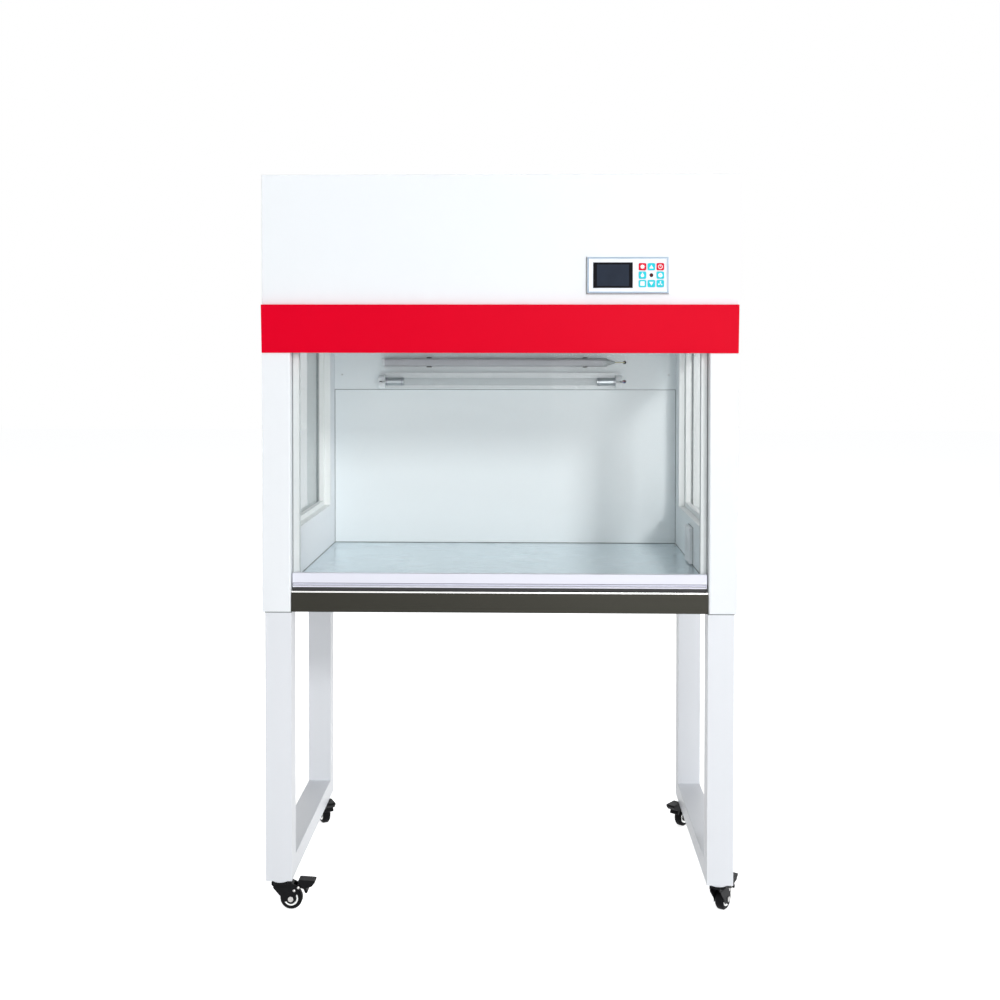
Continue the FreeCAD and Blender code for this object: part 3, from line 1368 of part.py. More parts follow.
def uv_lamp():
    """The germicidal tube, its channel, two lampholders and two wires."""
    x_mid, z_mid = -s.uv_middle, z_tube
    y_panel = y_back - s.sheet
    y_face = y_panel - s.channel_depth
    y_axis = y_face - s.uv_standoff
    l = s.uv_length / 2
    x_end = l + s.holder_gap + s.holder_thick
    z_channel = z_mid + s.channel_drop
    h = s.channel_height / 2
    t = s.sheet
    channel = rounded_block(
        "channel",
        (x_mid - x_end, x_mid + x_end),
        (y_face, y_panel),
        (z_channel - h, z_channel + h),
        s.channel_round,
    )
    room = rounded_block(
        "channel_room",
        (x_mid - x_end + t, x_mid + x_end - t),
        (y_face + t, y_panel),
        (z_channel - h + t, z_channel + h - t),
        s.channel_round - t,
    )
    parts = [cut("channel_whole", channel, room)]
    for hand, side in (("left", -1), ("right", 1)):
        x_near = x_mid + side * (l + s.holder_gap)
        x_far = x_near + side * s.holder_thick
        x_low = x_near if side > 0 else x_far
        r = s.holder_radius
        head = rod(f"{hand}_holder_head", r, (x_low, y_axis, z_mid), s.holder_thick, "X")
        foot = block(f"{hand}_holder_foot", (x_near, x_far), (y_axis, y_face), (z_mid - r, z_mid + r))
        depth = s.holder_thick - s.holder_wall
        x_cavity = x_near if side > 0 else x_near - depth
        cavity = rod(f"{hand}_holder_cavity", s.holder_cavity, (x_cavity, y_axis, z_mid), depth, "X")
        slot = block(
            f"{hand}_holder_slot",
            (x_near, x_near + side * depth),
            (y_axis - r - overcut, y_axis),
            (z_mid - s.holder_slot / 2, z_mid + s.holder_slot / 2),
        )
        parts.append(cut(f"{hand}_holder", fuse(f"{hand}_holder_solid", head, foot), cavity, slot))
    for number, side in enumerate((-1, 1)):
        z_wire = z_mid + side * s.wire_pitch / 2
        y_wire = (y_axis + y_face) / 2
        parts.append(
            bent_lead(
                f"lamp_wire_{number}",
                s.wire_radius,
                (x_mid + x_end, y_wire, z_wire),
                (s.hole_offset, y_wire, z_wire),
                (s.hole_offset, y_back + s.sheet, z_wire),
                2 * s.wire_radius,
            )
        )
    piece("uv_fixture", group("fixture_whole", *parts))

    cap, pin = s.uv_cap_length, s.uv_pin_length
    ends = [rod("uv_glass_tube", s.uv_glass, (x_mid - l + cap, y_axis, z_mid), 2 * (l - cap), "X")]
    for hand, side in (("left", -1), ("right", 1)):
        x_out = x_mid + side * l
        x_cap = x_out - cap if side > 0 else x_out
        ends.append(rod(f"{hand}_uv_cap", s.uv_cap, (x_cap, y_axis, z_mid), cap, "X"))
        for number, up in enumerate((-1, 1)):
            z_pin = z_mid + up * s.uv_pin_pitch / 2
            x_pin = x_out if side > 0 else x_out - pin
            ends.append(rod(f"{hand}_uv_pin_{number}", s.uv_pin, (x_pin, y_axis, z_pin), pin, "X"))
    piece("uv_tube", fuse("uv_tube_whole", *ends))


def socket_outlet():
    """The square socket outlet on the right wall, with five pin slots."""
    y, z = y_front + s.outlet_setback, z_work + s.outlet_lift
    side = s.outlet_side
    x_face = inner - s.outlet_thick

    def face_edges(edge):
        return abs(edge.CenterOfMass.x - float(x_face)) < 1e-6

    plate = block("outlet_block", (x_face, inner), (y, y + side), (z, z + side))
    plate = rounded("outlet_rounded", plate, s.outlet_round, face_edges)
    y_mid, z_mid = y + side / 2, z + side / 2
    length, wide = s.pin_slot_length, s.pin_slot_width
    upper, earth, lower = s.pin_upper_rise, -s.pin_earth_drop, -s.pin_lower_drop
    spots = [
        (-s.pin_upper_pitch / 2, upper),
        (s.pin_upper_pitch / 2, upper),
        (0, earth),
        (-s.pin_lower_pitch / 2, lower),
        (s.pin_lower_pitch / 2, lower),
    ]
    slots = []
    for number, (along, up) in enumerate(spots):
        slots.append(
            block(
                f"pin_slot_{number}",
                (x_face - overcut, x_face + s.pin_slot_depth),
                (y_mid + along - wide / 2, y_mid + along + wide / 2),
                (z_mid + up - length / 2, z_mid + up + length / 2),
            )
        )
    piece("socket_outlet", cut("outlet_whole", plate, *slots))


def caster_spots():
    """Name, stem position and direction of each caster."""
    x = half - s.leg_inset - s.leg_width / 2
    y_near = y_front + s.leg_depth / 2
    y_far = y_stand - s.leg_depth / 2
    return [
        ("front_left", -x, y_near, s.front_left_turn),
        ("front_right", x, y_near, s.front_right_turn),
        ("rear_left", -x, y_far, s.rear_left_turn),
        ("rear_right", x, y_far, s.rear_right_turn),
    ]


def stand_frame(hand, side):
    """Two hollow legs and a bottom rail in one frame, with its caster sockets."""
    x = (side * (half - s.leg_inset), side * (half - s.leg_inset - s.leg_width))
    wall = s.tube_wall
    x_room = (side * (half - s.leg_inset - wall), side * (half - s.leg_inset - s.leg_width + wall))
    y_end = y_stand
    z_foot, z_rail = s.caster_height, s.caster_height + s.rail_rise
    y_legs = ((y_front, y_front + s.leg_depth), (y_end - s.leg_depth, y_end))
    tubes = [block(f"{hand}_rail", x, (y_front, y_end), (z_foot, z_rail))]
    rail_room = ((y_front + wall, y_end - wall), (z_foot + wall, z_rail - wall))
    rooms = [block(f"{hand}_rail_room", x_room, *rail_room)]
    for number, (near, far) in enumerate(y_legs):
        leg_room = ((near + wall, far - wall), (z_foot + wall, z_base))
        tubes.append(block(f"{hand}_leg_{number}", x, (near, far), (z_foot, z_base)))
        rooms.append(block(f"{hand}_leg_room_{number}", x_room, *leg_room))
    strap = block(f"{hand}_strap", x, (y_legs[0][1], y_legs[1][0]), (z_base - s.strap_thick, z_base))
    frame = cut(f"{hand}_frame_tubes", fuse(f"{hand}_frame_solid", *tubes, strap), *rooms)
    sockets = []
    for name, cx, cy, _ in caster_spots():
        if name.endswith(hand):
            z_cup = s.caster_height - s.swivel_cup
            z_under = s.caster_height - s.fork_drop - s.fork_head_thick - s.swivel_gap
            z_end = z_under - s.swivel_rivet_thick
            sockets.append(rod(f"{name}_cup", s.fork_head, (cx, cy, z_cup), s.swivel_cup))
            sockets.append(rod(f"{name}_swivel_pin", s.swivel_pin, (cx, cy, z_end), z_foot - z_end))
            sockets.append(rod(f"{name}_rivet", s.swivel_rivet, (cx, cy, z_end), s.swivel_rivet_thick))
    piece(f"{hand}_stand_frame", fuse(f"{hand}_frame_whole", frame, *sockets))


def caster(name, cx, cy, turn):
    """A swivel fork with its wheel and brake pedal."""
    z_head = s.caster_height - s.fork_drop
    z_under = z_head - s.fork_head_thick
    room = s.wheel_width / 2 + s.wheel_side_gap
    out = room + s.fork_sheet
    z_axle, t = s.wheel_radius, s.fork_sheet
    lobe = s.pedal_barrel
    arm = [
        (-s.fork_head, z_head),
        (-s.fork_head, z_under - t),
        (s.trail - s.axle_lobe, z_axle),
        (s.trail + s.axle_lobe, z_axle),
        (s.pedal_pivot_x + lobe, s.pedal_pivot_z),
        (s.fork_head, z_head),
    ]
    cheeks = fuse(
        f"{name}_cheeks",
        extrusion(f"{name}_arm", "XZ_Plane", arm, 2 * out),
        rod(f"{name}_axle_lobe", s.axle_lobe, (s.trail, -out, z_axle), 2 * out, "Y"),
        rod(f"{name}_pedal_lobe", lobe, (s.pedal_pivot_x, -out, s.pedal_pivot_z), 2 * out, "Y"),
    )
    head = rod(f"{name}_head", s.fork_head, (0, 0, z_under), s.fork_head_thick)
    far = 2 * s.pedal_reach
    slot = block(f"{name}_slot", (-far, far), (-room, room), (-t, z_under))
    bore = rod(f"{name}_bore", s.swivel_pin + s.running_gap, (0, 0, z_under - t), 2 * s.fork_head_thick + t)
    shell = cut(f"{name}_shell", fuse(f"{name}_fork_solid", cheeks, head), slot, bore)
    grip = out + s.axle_head_thick
    pins = [
        rod(f"{name}_axle", s.axle_radius, (s.trail, -out, z_axle), 2 * out, "Y"),
        rod(f"{name}_axle_head", s.axle_head, (s.trail, -grip, z_axle), s.axle_head_thick, "Y"),
        rod(f"{name}_axle_nut", s.axle_head, (s.trail, out, z_axle), s.axle_head_thick, "Y"),
        rod(f"{name}_pedal_pin", s.pedal_pin, (s.pedal_pivot_x, -out, s.pedal_pivot_z), 2 * out, "Y"),
    ]
    fork = fuse(f"{name}_fork_whole", shell, *pins)
    bind_turn(fork, cx, cy, turn)
    piece(f"{name}_fork", fork)

    w, r = s.wheel_width / 2, s.wheel_radius
    section = [
        (-w, s.axle_radius + s.running_gap),
        (w, s.axle_radius + s.running_gap),
        (w, s.wheel_boss),
        (w - s.wheel_dish, s.wheel_boss),
        (w - s.wheel_dish, s.wheel_rim),
        (w, s.wheel_rim),
        (w, r - s.wheel_round),
        (w - s.wheel_round, r),
        (-w + s.wheel_round, r),
        (-w, r - s.wheel_round),
        (-w, s.wheel_rim),
        (-w + s.wheel_dish, s.wheel_rim),
        (-w + s.wheel_dish, s.wheel_boss),
        (-w, s.wheel_boss),
    ]
    wheel = turned(f"{name}_wheel_disc", section)
    bind_turn(wheel, cx, cy, turn, shift=s.trail, lift=s.wheel_radius)
    piece(f"{name}_wheel", wheel)

    x, z, b = s.pedal_pivot_x, s.pedal_pivot_z, s.pedal_barrel
    slim = 2 * (room - s.wheel_side_gap)
    barrel = rod(f"{name}_barrel", b, (x, -slim / 2, z), slim, "Y")
    thick, z_tip, x_neck = s.pedal_thick, z + s.pedal_lift, x + 2 * b
    neck_side = [(x, z - b), (x_neck, z), (x_neck, z + thick), (x, z + b)]
    neck = extrusion(f"{name}_neck", "XZ_Plane", neck_side, slim)
    tread_side = [
        (x_neck - thick, z - thick / 2),
        (s.pedal_reach - 2 * thick, z + thick / 2),
        (s.pedal_reach, z_tip),
        (s.pedal_reach - thick / 2, z_tip + thick),
        (s.pedal_reach - 3 * thick, z + 2 * thick),
        (x_neck - thick, z + thick),
    ]
    blade = extrusion(f"{name}_tread", "XZ_Plane", tread_side, s.pedal_width)
    pin_hole = rod(f"{name}_pedal_hole", s.pedal_pin + s.running_gap, (x, -out, z), 2 * out, "Y")
    pedal = cut(f"{name}_pedal_whole", fuse(f"{name}_pedal_solid", barrel, neck, blade), pin_hole)
    bind_turn(pedal, cx, cy, turn)
    piece(f"{name}_brake_pedal", pedal)


def bind_turn(thing, cx, cy, turn, shift=0.0, lift=0.0):
    """Stand a caster's piece at its stem, turned about the stem's upright axis."""
    angle = math.radians(float(turn))
    x = cx + shift * math.cos(angle)
    y = cy + shift * math.sin(angle)
    place(thing, (x, y, lift), "Z", turn)
    return thing


for hand, side in (("left", -1), ("right", 1)):
    side_wall(hand, side)
    stand_frame(hand, side)
side_panes()
back_walls()
rear_cover()
cable_gland()
top_cover()
front_cover()
fascia_band()
base_pan()
work_surface()
sash_guides()
sash()
balance()
fan_deck()
filter_and_diffuser()
blower()
control_panel()
led_batten()
uv_lamp()
socket_outlet()
for name, cx, cy, turn in caster_spots():
    caster(name, cx, cy, turn)

doc.recompute()
for thing in doc.Objects:
    if "Invalid" in thing.State or "Error" in thing.State:
        raise RuntimeError(f"{thing.Name} is {thing.State}")
for thing in pieces:
    shape = thing.Shape
    if shape.isNull() or not shape.isValid() or not shape.Solids:
        raise RuntimeError(f"{thing.Label} has no valid solid")

os.makedirs("parts", exist_ok=True)
for thing in pieces:
    thing.Shape.exportStep(f"parts/{thing.Label}.step")
    box = thing.Shape.BoundBox
    spans = (box.XMin, box.XMax, box.YMin, box.YMax, box.ZMin, box.ZMax)
    print(thing.Label, len(thing.Shape.Solids), "solids,", *[f"{edge:.1f}" for edge in spans])
print(len(pieces), "pieces")
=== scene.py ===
import json
import math

import bmesh
import bpy
from mathutils import Matrix, Vector


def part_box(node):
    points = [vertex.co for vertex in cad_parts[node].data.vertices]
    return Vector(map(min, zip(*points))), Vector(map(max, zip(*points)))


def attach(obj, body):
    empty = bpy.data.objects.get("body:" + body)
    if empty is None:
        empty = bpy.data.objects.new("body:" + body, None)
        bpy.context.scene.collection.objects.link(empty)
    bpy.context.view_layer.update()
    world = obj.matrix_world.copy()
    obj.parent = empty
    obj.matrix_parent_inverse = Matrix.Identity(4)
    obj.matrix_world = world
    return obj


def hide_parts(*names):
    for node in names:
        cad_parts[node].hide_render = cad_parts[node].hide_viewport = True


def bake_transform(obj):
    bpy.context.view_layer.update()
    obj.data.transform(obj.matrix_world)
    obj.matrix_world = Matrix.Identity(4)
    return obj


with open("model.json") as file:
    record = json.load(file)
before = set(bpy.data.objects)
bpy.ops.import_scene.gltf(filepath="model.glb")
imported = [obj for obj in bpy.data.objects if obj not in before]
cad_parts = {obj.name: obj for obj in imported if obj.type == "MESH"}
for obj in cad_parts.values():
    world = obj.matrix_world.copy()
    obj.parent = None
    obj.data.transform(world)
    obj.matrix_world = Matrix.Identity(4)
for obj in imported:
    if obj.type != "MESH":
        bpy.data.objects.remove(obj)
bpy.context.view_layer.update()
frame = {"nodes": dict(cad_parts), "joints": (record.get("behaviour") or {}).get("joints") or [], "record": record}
nodes = frame["nodes"]

MM = 0.001
CABINET = "cabinet"
SASH = "sash"
HANDS = (("left", -1), ("right", 1))
CORNERS = ("front_left", "front_right", "rear_left", "rear_right")


# Camera

CAMERA_PLACE = (0.0671, -3.1529, 1.2153)
CAMERA_PITCH = 1.097
CAMERA_TURN = 1.324
CAMERA_ROLL = 0.069
FOCAL_PIXELS = 1292.925
AXIS_ROW = 386.792
PHOTO_PIXELS = 1000
SENSOR = 36


def add_camera():
    """The camera at the photograph's place and angle."""
    data = bpy.data.cameras.new("camera")
    data.sensor_width = SENSOR
    data.lens = FOCAL_PIXELS / PHOTO_PIXELS * SENSOR
    data.shift_y = (AXIS_ROW - PHOTO_PIXELS / 2) / PHOTO_PIXELS
    camera = bpy.data.objects.new("camera", data)
    bpy.context.scene.collection.objects.link(camera)
    turn = Matrix.Rotation(math.radians(CAMERA_TURN), 4, "Z")
    pitch = Matrix.Rotation(math.radians(90 - CAMERA_PITCH), 4, "X")
    roll = Matrix.Rotation(math.radians(CAMERA_ROLL), 4, "Z")
    camera.matrix_world = Matrix.Translation(CAMERA_PLACE) @ turn @ pitch @ roll
    bpy.context.scene.camera = camera


# Light, floor and backdrop

AMBIENT = 0.24
SKY_TINT = (0.96, 0.98, 1.0, 1)
FLOOR_SIZE = 40
FLOOR_WHITE = 0.97
FLOOR_LIFT = 0.76
AIM = (0, 0, 1.0)
# Name, place in metres, side in metres and power in watts.
LAMPS = (
    ("key_lamp", (2.9, -6.8, 3.8), 1.0, 182),
    ("front_lamp", (1.5, -7.3, 1.4), 2.6, 136),
    ("left_lamp", (-2.6, -2.6, 2.2), 2.2, 8),
    ("right_lamp", (8.0, -0.1, 2.2), 2.4, 170),
    ("top_lamp", (0, 0, 4.6), 3.0, 34),
    ("back_lamp", (0.6, 3.6, 3.2), 2.6, 45),
)


def add_lamp(name, place, size, power):
    """A square soft lamp that points at the middle of the cabinet."""
    data = bpy.data.lights.new(name, "AREA")
    data.shape = "SQUARE"
    data.size = size
    data.energy = power
    lamp = bpy.data.objects.new(name, data)
    bpy.context.scene.collection.objects.link(lamp)
    turn = (Vector(AIM) - Vector(place)).to_track_quat("-Z", "Y").to_matrix().to_4x4()
    lamp.matrix_world = Matrix.Translation(place) @ turn


def add_studio():
    """Soft white surroundings, six lamps, and a pale floor that keeps the shadow."""
    world = bpy.data.worlds.new("studio")
    bpy.context.scene.world = world
    world.use_nodes = True
    tree = world.node_tree
    tree.nodes.clear()
    out = tree.nodes.new("ShaderNodeOutputWorld")
    soft = tree.nodes.new("ShaderNodeBackground")
    soft.inputs["Color"].default_value = SKY_TINT
    soft.inputs["Strength"].default_value = AMBIENT
    shown = tree.nodes.new("ShaderNodeBackground")
    shown.inputs["Color"].default_value = (1, 1, 1, 1)
    shown.inputs["Strength"].default_value = 1
    mix = tree.nodes.new("ShaderNodeMixShader")
    tree.links.new(seen_rays(tree), mix.inputs[0])
    tree.links.new(soft.outputs[0], mix.inputs[1])
    tree.links.new(shown.outputs[0], mix.inputs[2])
    tree.links.new(mix.outputs[0], out.inputs[0])

    for name, place, size, power in LAMPS:
        add_lamp(name, place, size, power)

    mesh = bpy.data.meshes.new("floor")
    bm = bmesh.new()
    bmesh.ops.create_grid(bm, x_segments=1, y_segments=1, size=FLOOR_SIZE / 2)
    bm.to_mesh(mesh)
    bm.free()
    floor = bpy.data.objects.new("floor", mesh)
    bpy.context.scene.collection.objects.link(floor)
    mesh.materials.append(floor_paint())


def seen_rays(tree):
    """1 where the camera, or a mirror or glass in front of it, looks at the surroundings."""
    path = tree.nodes.new("ShaderNodeLightPath")
    glossy = tree.nodes.new("ShaderNodeMath")
    glossy.operation = "MAXIMUM"
    tree.links.new(path.outputs["Is Camera Ray"], glossy.inputs[0])
    tree.links.new(path.outputs["Is Glossy Ray"], glossy.inputs[1])
    clear = tree.nodes.new("ShaderNodeMath")
    clear.operation = "MAXIMUM"
    tree.links.new(glossy.outputs[0], clear.inputs[0])
    tree.links.new(path.outputs["Is Transmission Ray"], clear.inputs[1])
    return clear.outputs[0]


def floor_paint():
    """White paint that takes the shadow, lifted to the backdrop's white, and clear from below."""
    material = bpy.data.materials.new("floor_paint")
    material.use_nodes = True
    tree = material.node_tree
    surface = tree.nodes["Principled BSDF"]
    surface.inputs["Base Color"].default_value = (FLOOR_WHITE, FLOOR_WHITE, FLOOR_WHITE, 1)
    surface.inputs["Roughness"].default_value = 1
    surface.inputs["Specular IOR Level"].default_value = 0
    surface.inputs["Emission Color"].default_value = (1, 1, 1, 1)
    lift = tree.nodes.new("ShaderNodeMath")
    lift.operation = "MULTIPLY"
    lift.inputs[1].default_value = FLOOR_LIFT
    tree.links.new(seen_rays(tree), lift.inputs[0])
    tree.links.new(lift.outputs[0], surface.inputs["Emission Strength"])
    side = tree.nodes.new("ShaderNodeNewGeometry")
    clear = tree.nodes.new("ShaderNodeBsdfTransparent")
    mix = tree.nodes.new("ShaderNodeMixShader")
    tree.links.new(side.outputs["Backfacing"], mix.inputs[0])
    tree.links.new(surface.outputs[0], mix.inputs[1])
    tree.links.new(clear.outputs[0], mix.inputs[2])
    tree.links.new(mix.outputs[0], tree.nodes["Material Output"].inputs["Surface"])
    return material


add_camera()
add_studio()
bpy.context.scene.view_settings.view_transform = "Standard"


# Shared shader groups

def group(name, inputs, outputs):
    """An empty shader group with named sockets: (name, kind, default) and (name, kind)."""
    tree = bpy.data.node_groups.new(name, "ShaderNodeTree")
    for label, kind, default in inputs:
        socket = tree.interface.new_socket(label, in_out="INPUT", socket_type=kind)
        socket.default_value = default
    for label, kind in outputs:
        tree.interface.new_socket(label, in_out="OUTPUT", socket_type=kind)
    return tree, tree.nodes.new("NodeGroupInput"), tree.nodes.new("NodeGroupOutput")


FLOAT, COLOUR, VECTOR = "NodeSocketFloat", "NodeSocketColor", "NodeSocketVector"
PLAIN = (1, 1, 1, 1)
EFFECT_OUTPUTS = [("Color", COLOUR), ("Roughness", FLOAT), ("Height", FLOAT)]


def feed(tree, value, socket):
    """Give a socket its value: a number, or a link from another socket."""
    if isinstance(value, (int, float)):
        socket.default_value = value
    else:
        tree.links.new(value, socket)


def noise(tree, place, scale, detail=3.0, roughness=0.5):
    """A noise texture over the object's own coordinates; scale is in spots per metre."""
    texture = tree.nodes.new("ShaderNodeTexNoise")
    texture.inputs["Detail"].default_value = detail
    texture.inputs["Roughness"].default_value = roughness
    feed(tree, scale, texture.inputs["Scale"])
    tree.links.new(place, texture.inputs["Vector"])
    return texture.outputs["Fac"]


def math_node(tree, operation, a, b, clamp=False):
    """One sum on two values, each a socket or a number."""
    node = tree.nodes.new("ShaderNodeMath")
    node.operation = operation
    node.use_clamp = clamp
    feed(tree, a, node.inputs[0])
    feed(tree, b, node.inputs[1])
    return node.outputs[0]


def spread(tree, value, low, high):
    """A value from 0 to 1 stretched between two limits."""
    node = tree.nodes.new("ShaderNodeMapRange")
    tree.links.new(value, node.inputs["Value"])
    feed(tree, low, node.inputs["To Min"])
    feed(tree, high, node.inputs["To Max"])
    return node.outputs[0]


def tinted(tree, colour, factor):
    """A colour made lighter or darker by a factor."""
    mix = tree.nodes.new("ShaderNodeVectorMath")
    mix.operation = "SCALE"
    tree.links.new(colour, mix.inputs[0])
    tree.links.new(factor, mix.inputs["Scale"])
    return mix.outputs[0]


def object_place(tree):
    """The coordinates of the object itself."""
    return tree.nodes.new("ShaderNodeTexCoord").outputs["Object"]


def coat_group():
    """Powder coat: a fine orange peel, slow cloudy tone, and a little handling haze."""
    tree, given, made = group(
        "powder_coat",
        [("Color", COLOUR, PLAIN), ("Peel", FLOAT, 900.0), ("Gloss", FLOAT, 0.35), ("Clouds", FLOAT, 0.02)],
        EFFECT_OUTPUTS,
    )
    place = object_place(tree)
    clouds = noise(tree, place, 2.2, detail=4.0)
    haze = noise(tree, place, 9.0, detail=5.0, roughness=0.6)
    peel = noise(tree, place, given.outputs["Peel"], detail=2.0)
    dark = math_node(tree, "SUBTRACT", 1.0, given.outputs["Clouds"])
    shade = spread(tree, clouds, dark, 1.0)
    tree.links.new(tinted(tree, given.outputs["Color"], shade), made.inputs["Color"])
    low = math_node(tree, "SUBTRACT", given.outputs["Gloss"], 0.05)
    high = math_node(tree, "ADD", given.outputs["Gloss"], 0.09)
    tree.links.new(spread(tree, haze, low, high), made.inputs["Roughness"])
    tree.links.new(peel, made.inputs["Height"])
    return tree


def brushed_group():
    """Brushed sheet: long fine scratches along one direction, and faint wipe marks."""
    tree, given, made = group(
        "brushed_sheet",
        [("Color", COLOUR, PLAIN), ("Direction", VECTOR, (1, 60, 60)), ("Gloss", FLOAT, 0.3),
         ("Contrast", FLOAT, 0.12)],
        EFFECT_OUTPUTS,
    )
    place = object_place(tree)
    along = tree.nodes.new("ShaderNodeVectorMath")
    along.operation = "MULTIPLY"
    tree.links.new(place, along.inputs[0])
    tree.links.new(given.outputs["Direction"], along.inputs[1])
    scratches = noise(tree, along.outputs[0], 14.0, detail=6.0, roughness=0.75)
    wipes = noise(tree, place, 5.0, detail=4.0, roughness=0.55)
    low = math_node(tree, "SUBTRACT", 1.0, given.outputs["Contrast"])
    shade = spread(tree, scratches, low, math_node(tree, "ADD", 1.0, given.outputs["Contrast"]))
    tree.links.new(tinted(tree, given.outputs["Color"], shade), made.inputs["Color"])
    scratch_haze = math_node(tree, "MULTIPLY", scratches, 0.12)
    wipe_haze = math_node(tree, "MULTIPLY", wipes, 0.14)
    haze = math_node(tree, "ADD", scratch_haze, wipe_haze)
    smooth = math_node(tree, "SUBTRACT", given.outputs["Gloss"], 0.12)
    tree.links.new(math_node(tree, "ADD", haze, smooth), made.inputs["Roughness"])
    tree.links.new(scratches, made.inputs["Height"])
    return tree


def moulded_group():
    """Moulded plastic or rubber: a fine spark grain and slight flow clouds."""
    tree, given, made = group(
        "moulded_grain",
        [("Color", COLOUR, PLAIN), ("Grain", FLOAT, 1400.0), ("Gloss", FLOAT, 0.4),
         ("Clouds", FLOAT, 0.05)],
        EFFECT_OUTPUTS,
    )
    place = object_place(tree)
    grain = noise(tree, place, given.outputs["Grain"], detail=3.0, roughness=0.6)
    clouds = noise(tree, place, 30.0, detail=4.0)
    dark = math_node(tree, "SUBTRACT", 1.0, given.outputs["Clouds"])
    shade = spread(tree, clouds, dark, 1.0)
    tree.links.new(tinted(tree, given.outputs["Color"], shade), made.inputs["Color"])
    low = math_node(tree, "SUBTRACT", given.outputs["Gloss"], 0.06)
    high = math_node(tree, "ADD", given.outputs["Gloss"], 0.06)
    tree.links.new(spread(tree, grain, low, high), made.inputs["Roughness"])
    tree.links.new(grain, made.inputs["Height"])
    return tree


COAT = coat_group()
BRUSHED = brushed_group()
MOULDED = moulded_group()


def finish_with(name, effect, colour, bump, values, **surface):
    """A material whose colour, roughness and bump come from one shared effect."""
    material = bpy.data.materials.new(name)
    material.use_nodes = True
    tree = material.node_tree
    bsdf = tree.nodes["Principled BSDF"]
    shared = tree.nodes.new("ShaderNodeGroup")
    shared.node_tree = effect
    shared.inputs["Color"].default_value = (*colour, 1)
    for label, value in values.items():
        shared.inputs[label].default_value = value
    tree.links.new(shared.outputs["Color"], bsdf.inputs["Base Color"])
    tree.links.new(shared.outputs["Roughness"], bsdf.inputs["Roughness"])
    relief = tree.nodes.new("ShaderNodeBump")
    relief.inputs["Strength"].default_value = 1
    relief.inputs["Distance"].default_value = bump
    tree.links.new(shared.outputs["Height"], relief.inputs["Height"])
    tree.links.new(relief.outputs[0], bsdf.inputs["Normal"])
    for label, value in surface.items():
        bsdf.inputs[label.replace("_", " ")].default_value = value
    return material


def clear_glass(name, colour, rough=0.0, tint=0.0, grazing=6.0):
    """Clear glass that shows what is behind it, with more colour and gloss at grazing angles."""
    material = bpy.data.materials.new(name)
    material.use_nodes = True
    tree = material.node_tree
    bsdf = tree.nodes["Principled BSDF"]
    bsdf.inputs["Base Color"].default_value = (*colour, 1)
    bsdf.inputs["Roughness"].default_value = rough
    slant = tree.nodes.new("ShaderNodeLayerWeight")
    edge = math_node(tree, "POWER", slant.outputs["Facing"], grazing)
    cover = math_node(tree, "MULTIPLY", edge, 1.0 - tint)
    tree.links.new(math_node(tree, "ADD", cover, tint, True), bsdf.inputs["Alpha"])
    return material


# Finishes

WHITE = (0.895, 0.925, 0.955)
HEAD_WHITE = (0.905, 0.94, 0.97)
# The inside white is the cabinet's white made lighter: painted light for the shaded chamber.
INSIDE_PAINTED_LIGHT_WHITE = (0.92, 0.975, 0.99)
FRAME_WHITE = (0.94, 0.965, 0.955)
STAND_WHITE = (0.81, 0.835, 0.875)
RED = (0.80, 0.0, 0.020)
LAVENDER = (0.82, 0.83, 0.925)

white_coat = finish_with("white_coat", COAT, WHITE, 0.04 * MM, {"Gloss": 0.36}, Specular_IOR_Level=0.3)
head_coat = finish_with("head_coat", COAT, HEAD_WHITE, 0.04 * MM, {"Gloss": 0.36}, Specular_IOR_Level=0.25)
inside_coat = finish_with("inside_coat", COAT, INSIDE_PAINTED_LIGHT_WHITE, 0.04 * MM, {"Gloss": 0.33, "Clouds": 0.04})
frame_coat = finish_with("frame_coat", COAT, FRAME_WHITE, 0.04 * MM, {"Gloss": 0.36})
stand_coat = finish_with("stand_coat", COAT, STAND_WHITE, 0.05 * MM, {"Gloss": 0.34, "Clouds": 0.03})
red_coat = finish_with(
    "red_coat", COAT, RED, 0.03 * MM, {"Gloss": 0.34, "Clouds": 0.05}, Specular_IOR_Level=0.04
)
handle_coat = finish_with("handle_coat", COAT, LAVENDER, 0.03 * MM, {"Gloss": 0.30, "Peel": 1200.0})
enamel = finish_with("enamel", COAT, (0.83, 0.865, 0.875), 0.02 * MM, {"Gloss": 0.25})
stainless = finish_with(
    "stainless", BRUSHED, (0.72, 0.80, 0.84), 0.01 * MM, {"Gloss": 0.26, "Contrast": 0.04}, Metallic=0.95
)
dark_stainless = finish_with(
    "dark_stainless", BRUSHED, (0.020, 0.019, 0.013), 0.01 * MM,
    {"Gloss": 0.36, "Contrast": 0.14}, Metallic=0.6,
)
# A bright copy of the pan's metal for its top edge: painted highlight.
bright_edge = finish_with(
    "bright_edge", BRUSHED, (0.75, 0.75, 0.74), 0.01 * MM, {"Gloss": 0.25}, Metallic=1.0
)
zinc = finish_with(
    "zinc_sheet", BRUSHED, (0.50, 0.53, 0.55), 0.02 * MM,
    {"Direction": (5, 5, 5), "Gloss": 0.4, "Contrast": 0.22}, Metallic=0.9,
)
satin_aluminium = finish_with(
    "satin_aluminium", BRUSHED, (0.72, 0.73, 0.75), 0.01 * MM,
    {"Gloss": 0.34, "Contrast": 0.06}, Metallic=0.95,
)
bezel_metal = finish_with(
    "bezel_metal", BRUSHED, (0.70, 0.76, 0.83), 0.01 * MM, {"Gloss": 0.34, "Contrast": 0.05}, Metallic=0.5
)
bright_steel = finish_with(
    "bright_steel", BRUSHED, (0.50, 0.49, 0.48), 0.01 * MM,
    {"Direction": (4, 4, 4), "Gloss": 0.26}, Metallic=1.0,
)
cap_metal = finish_with(
    "cap_metal", BRUSHED, (0.46, 0.49, 0.51), 0.01 * MM, {"Gloss": 0.28, "Contrast": 0.1}, Metallic=0.9
)
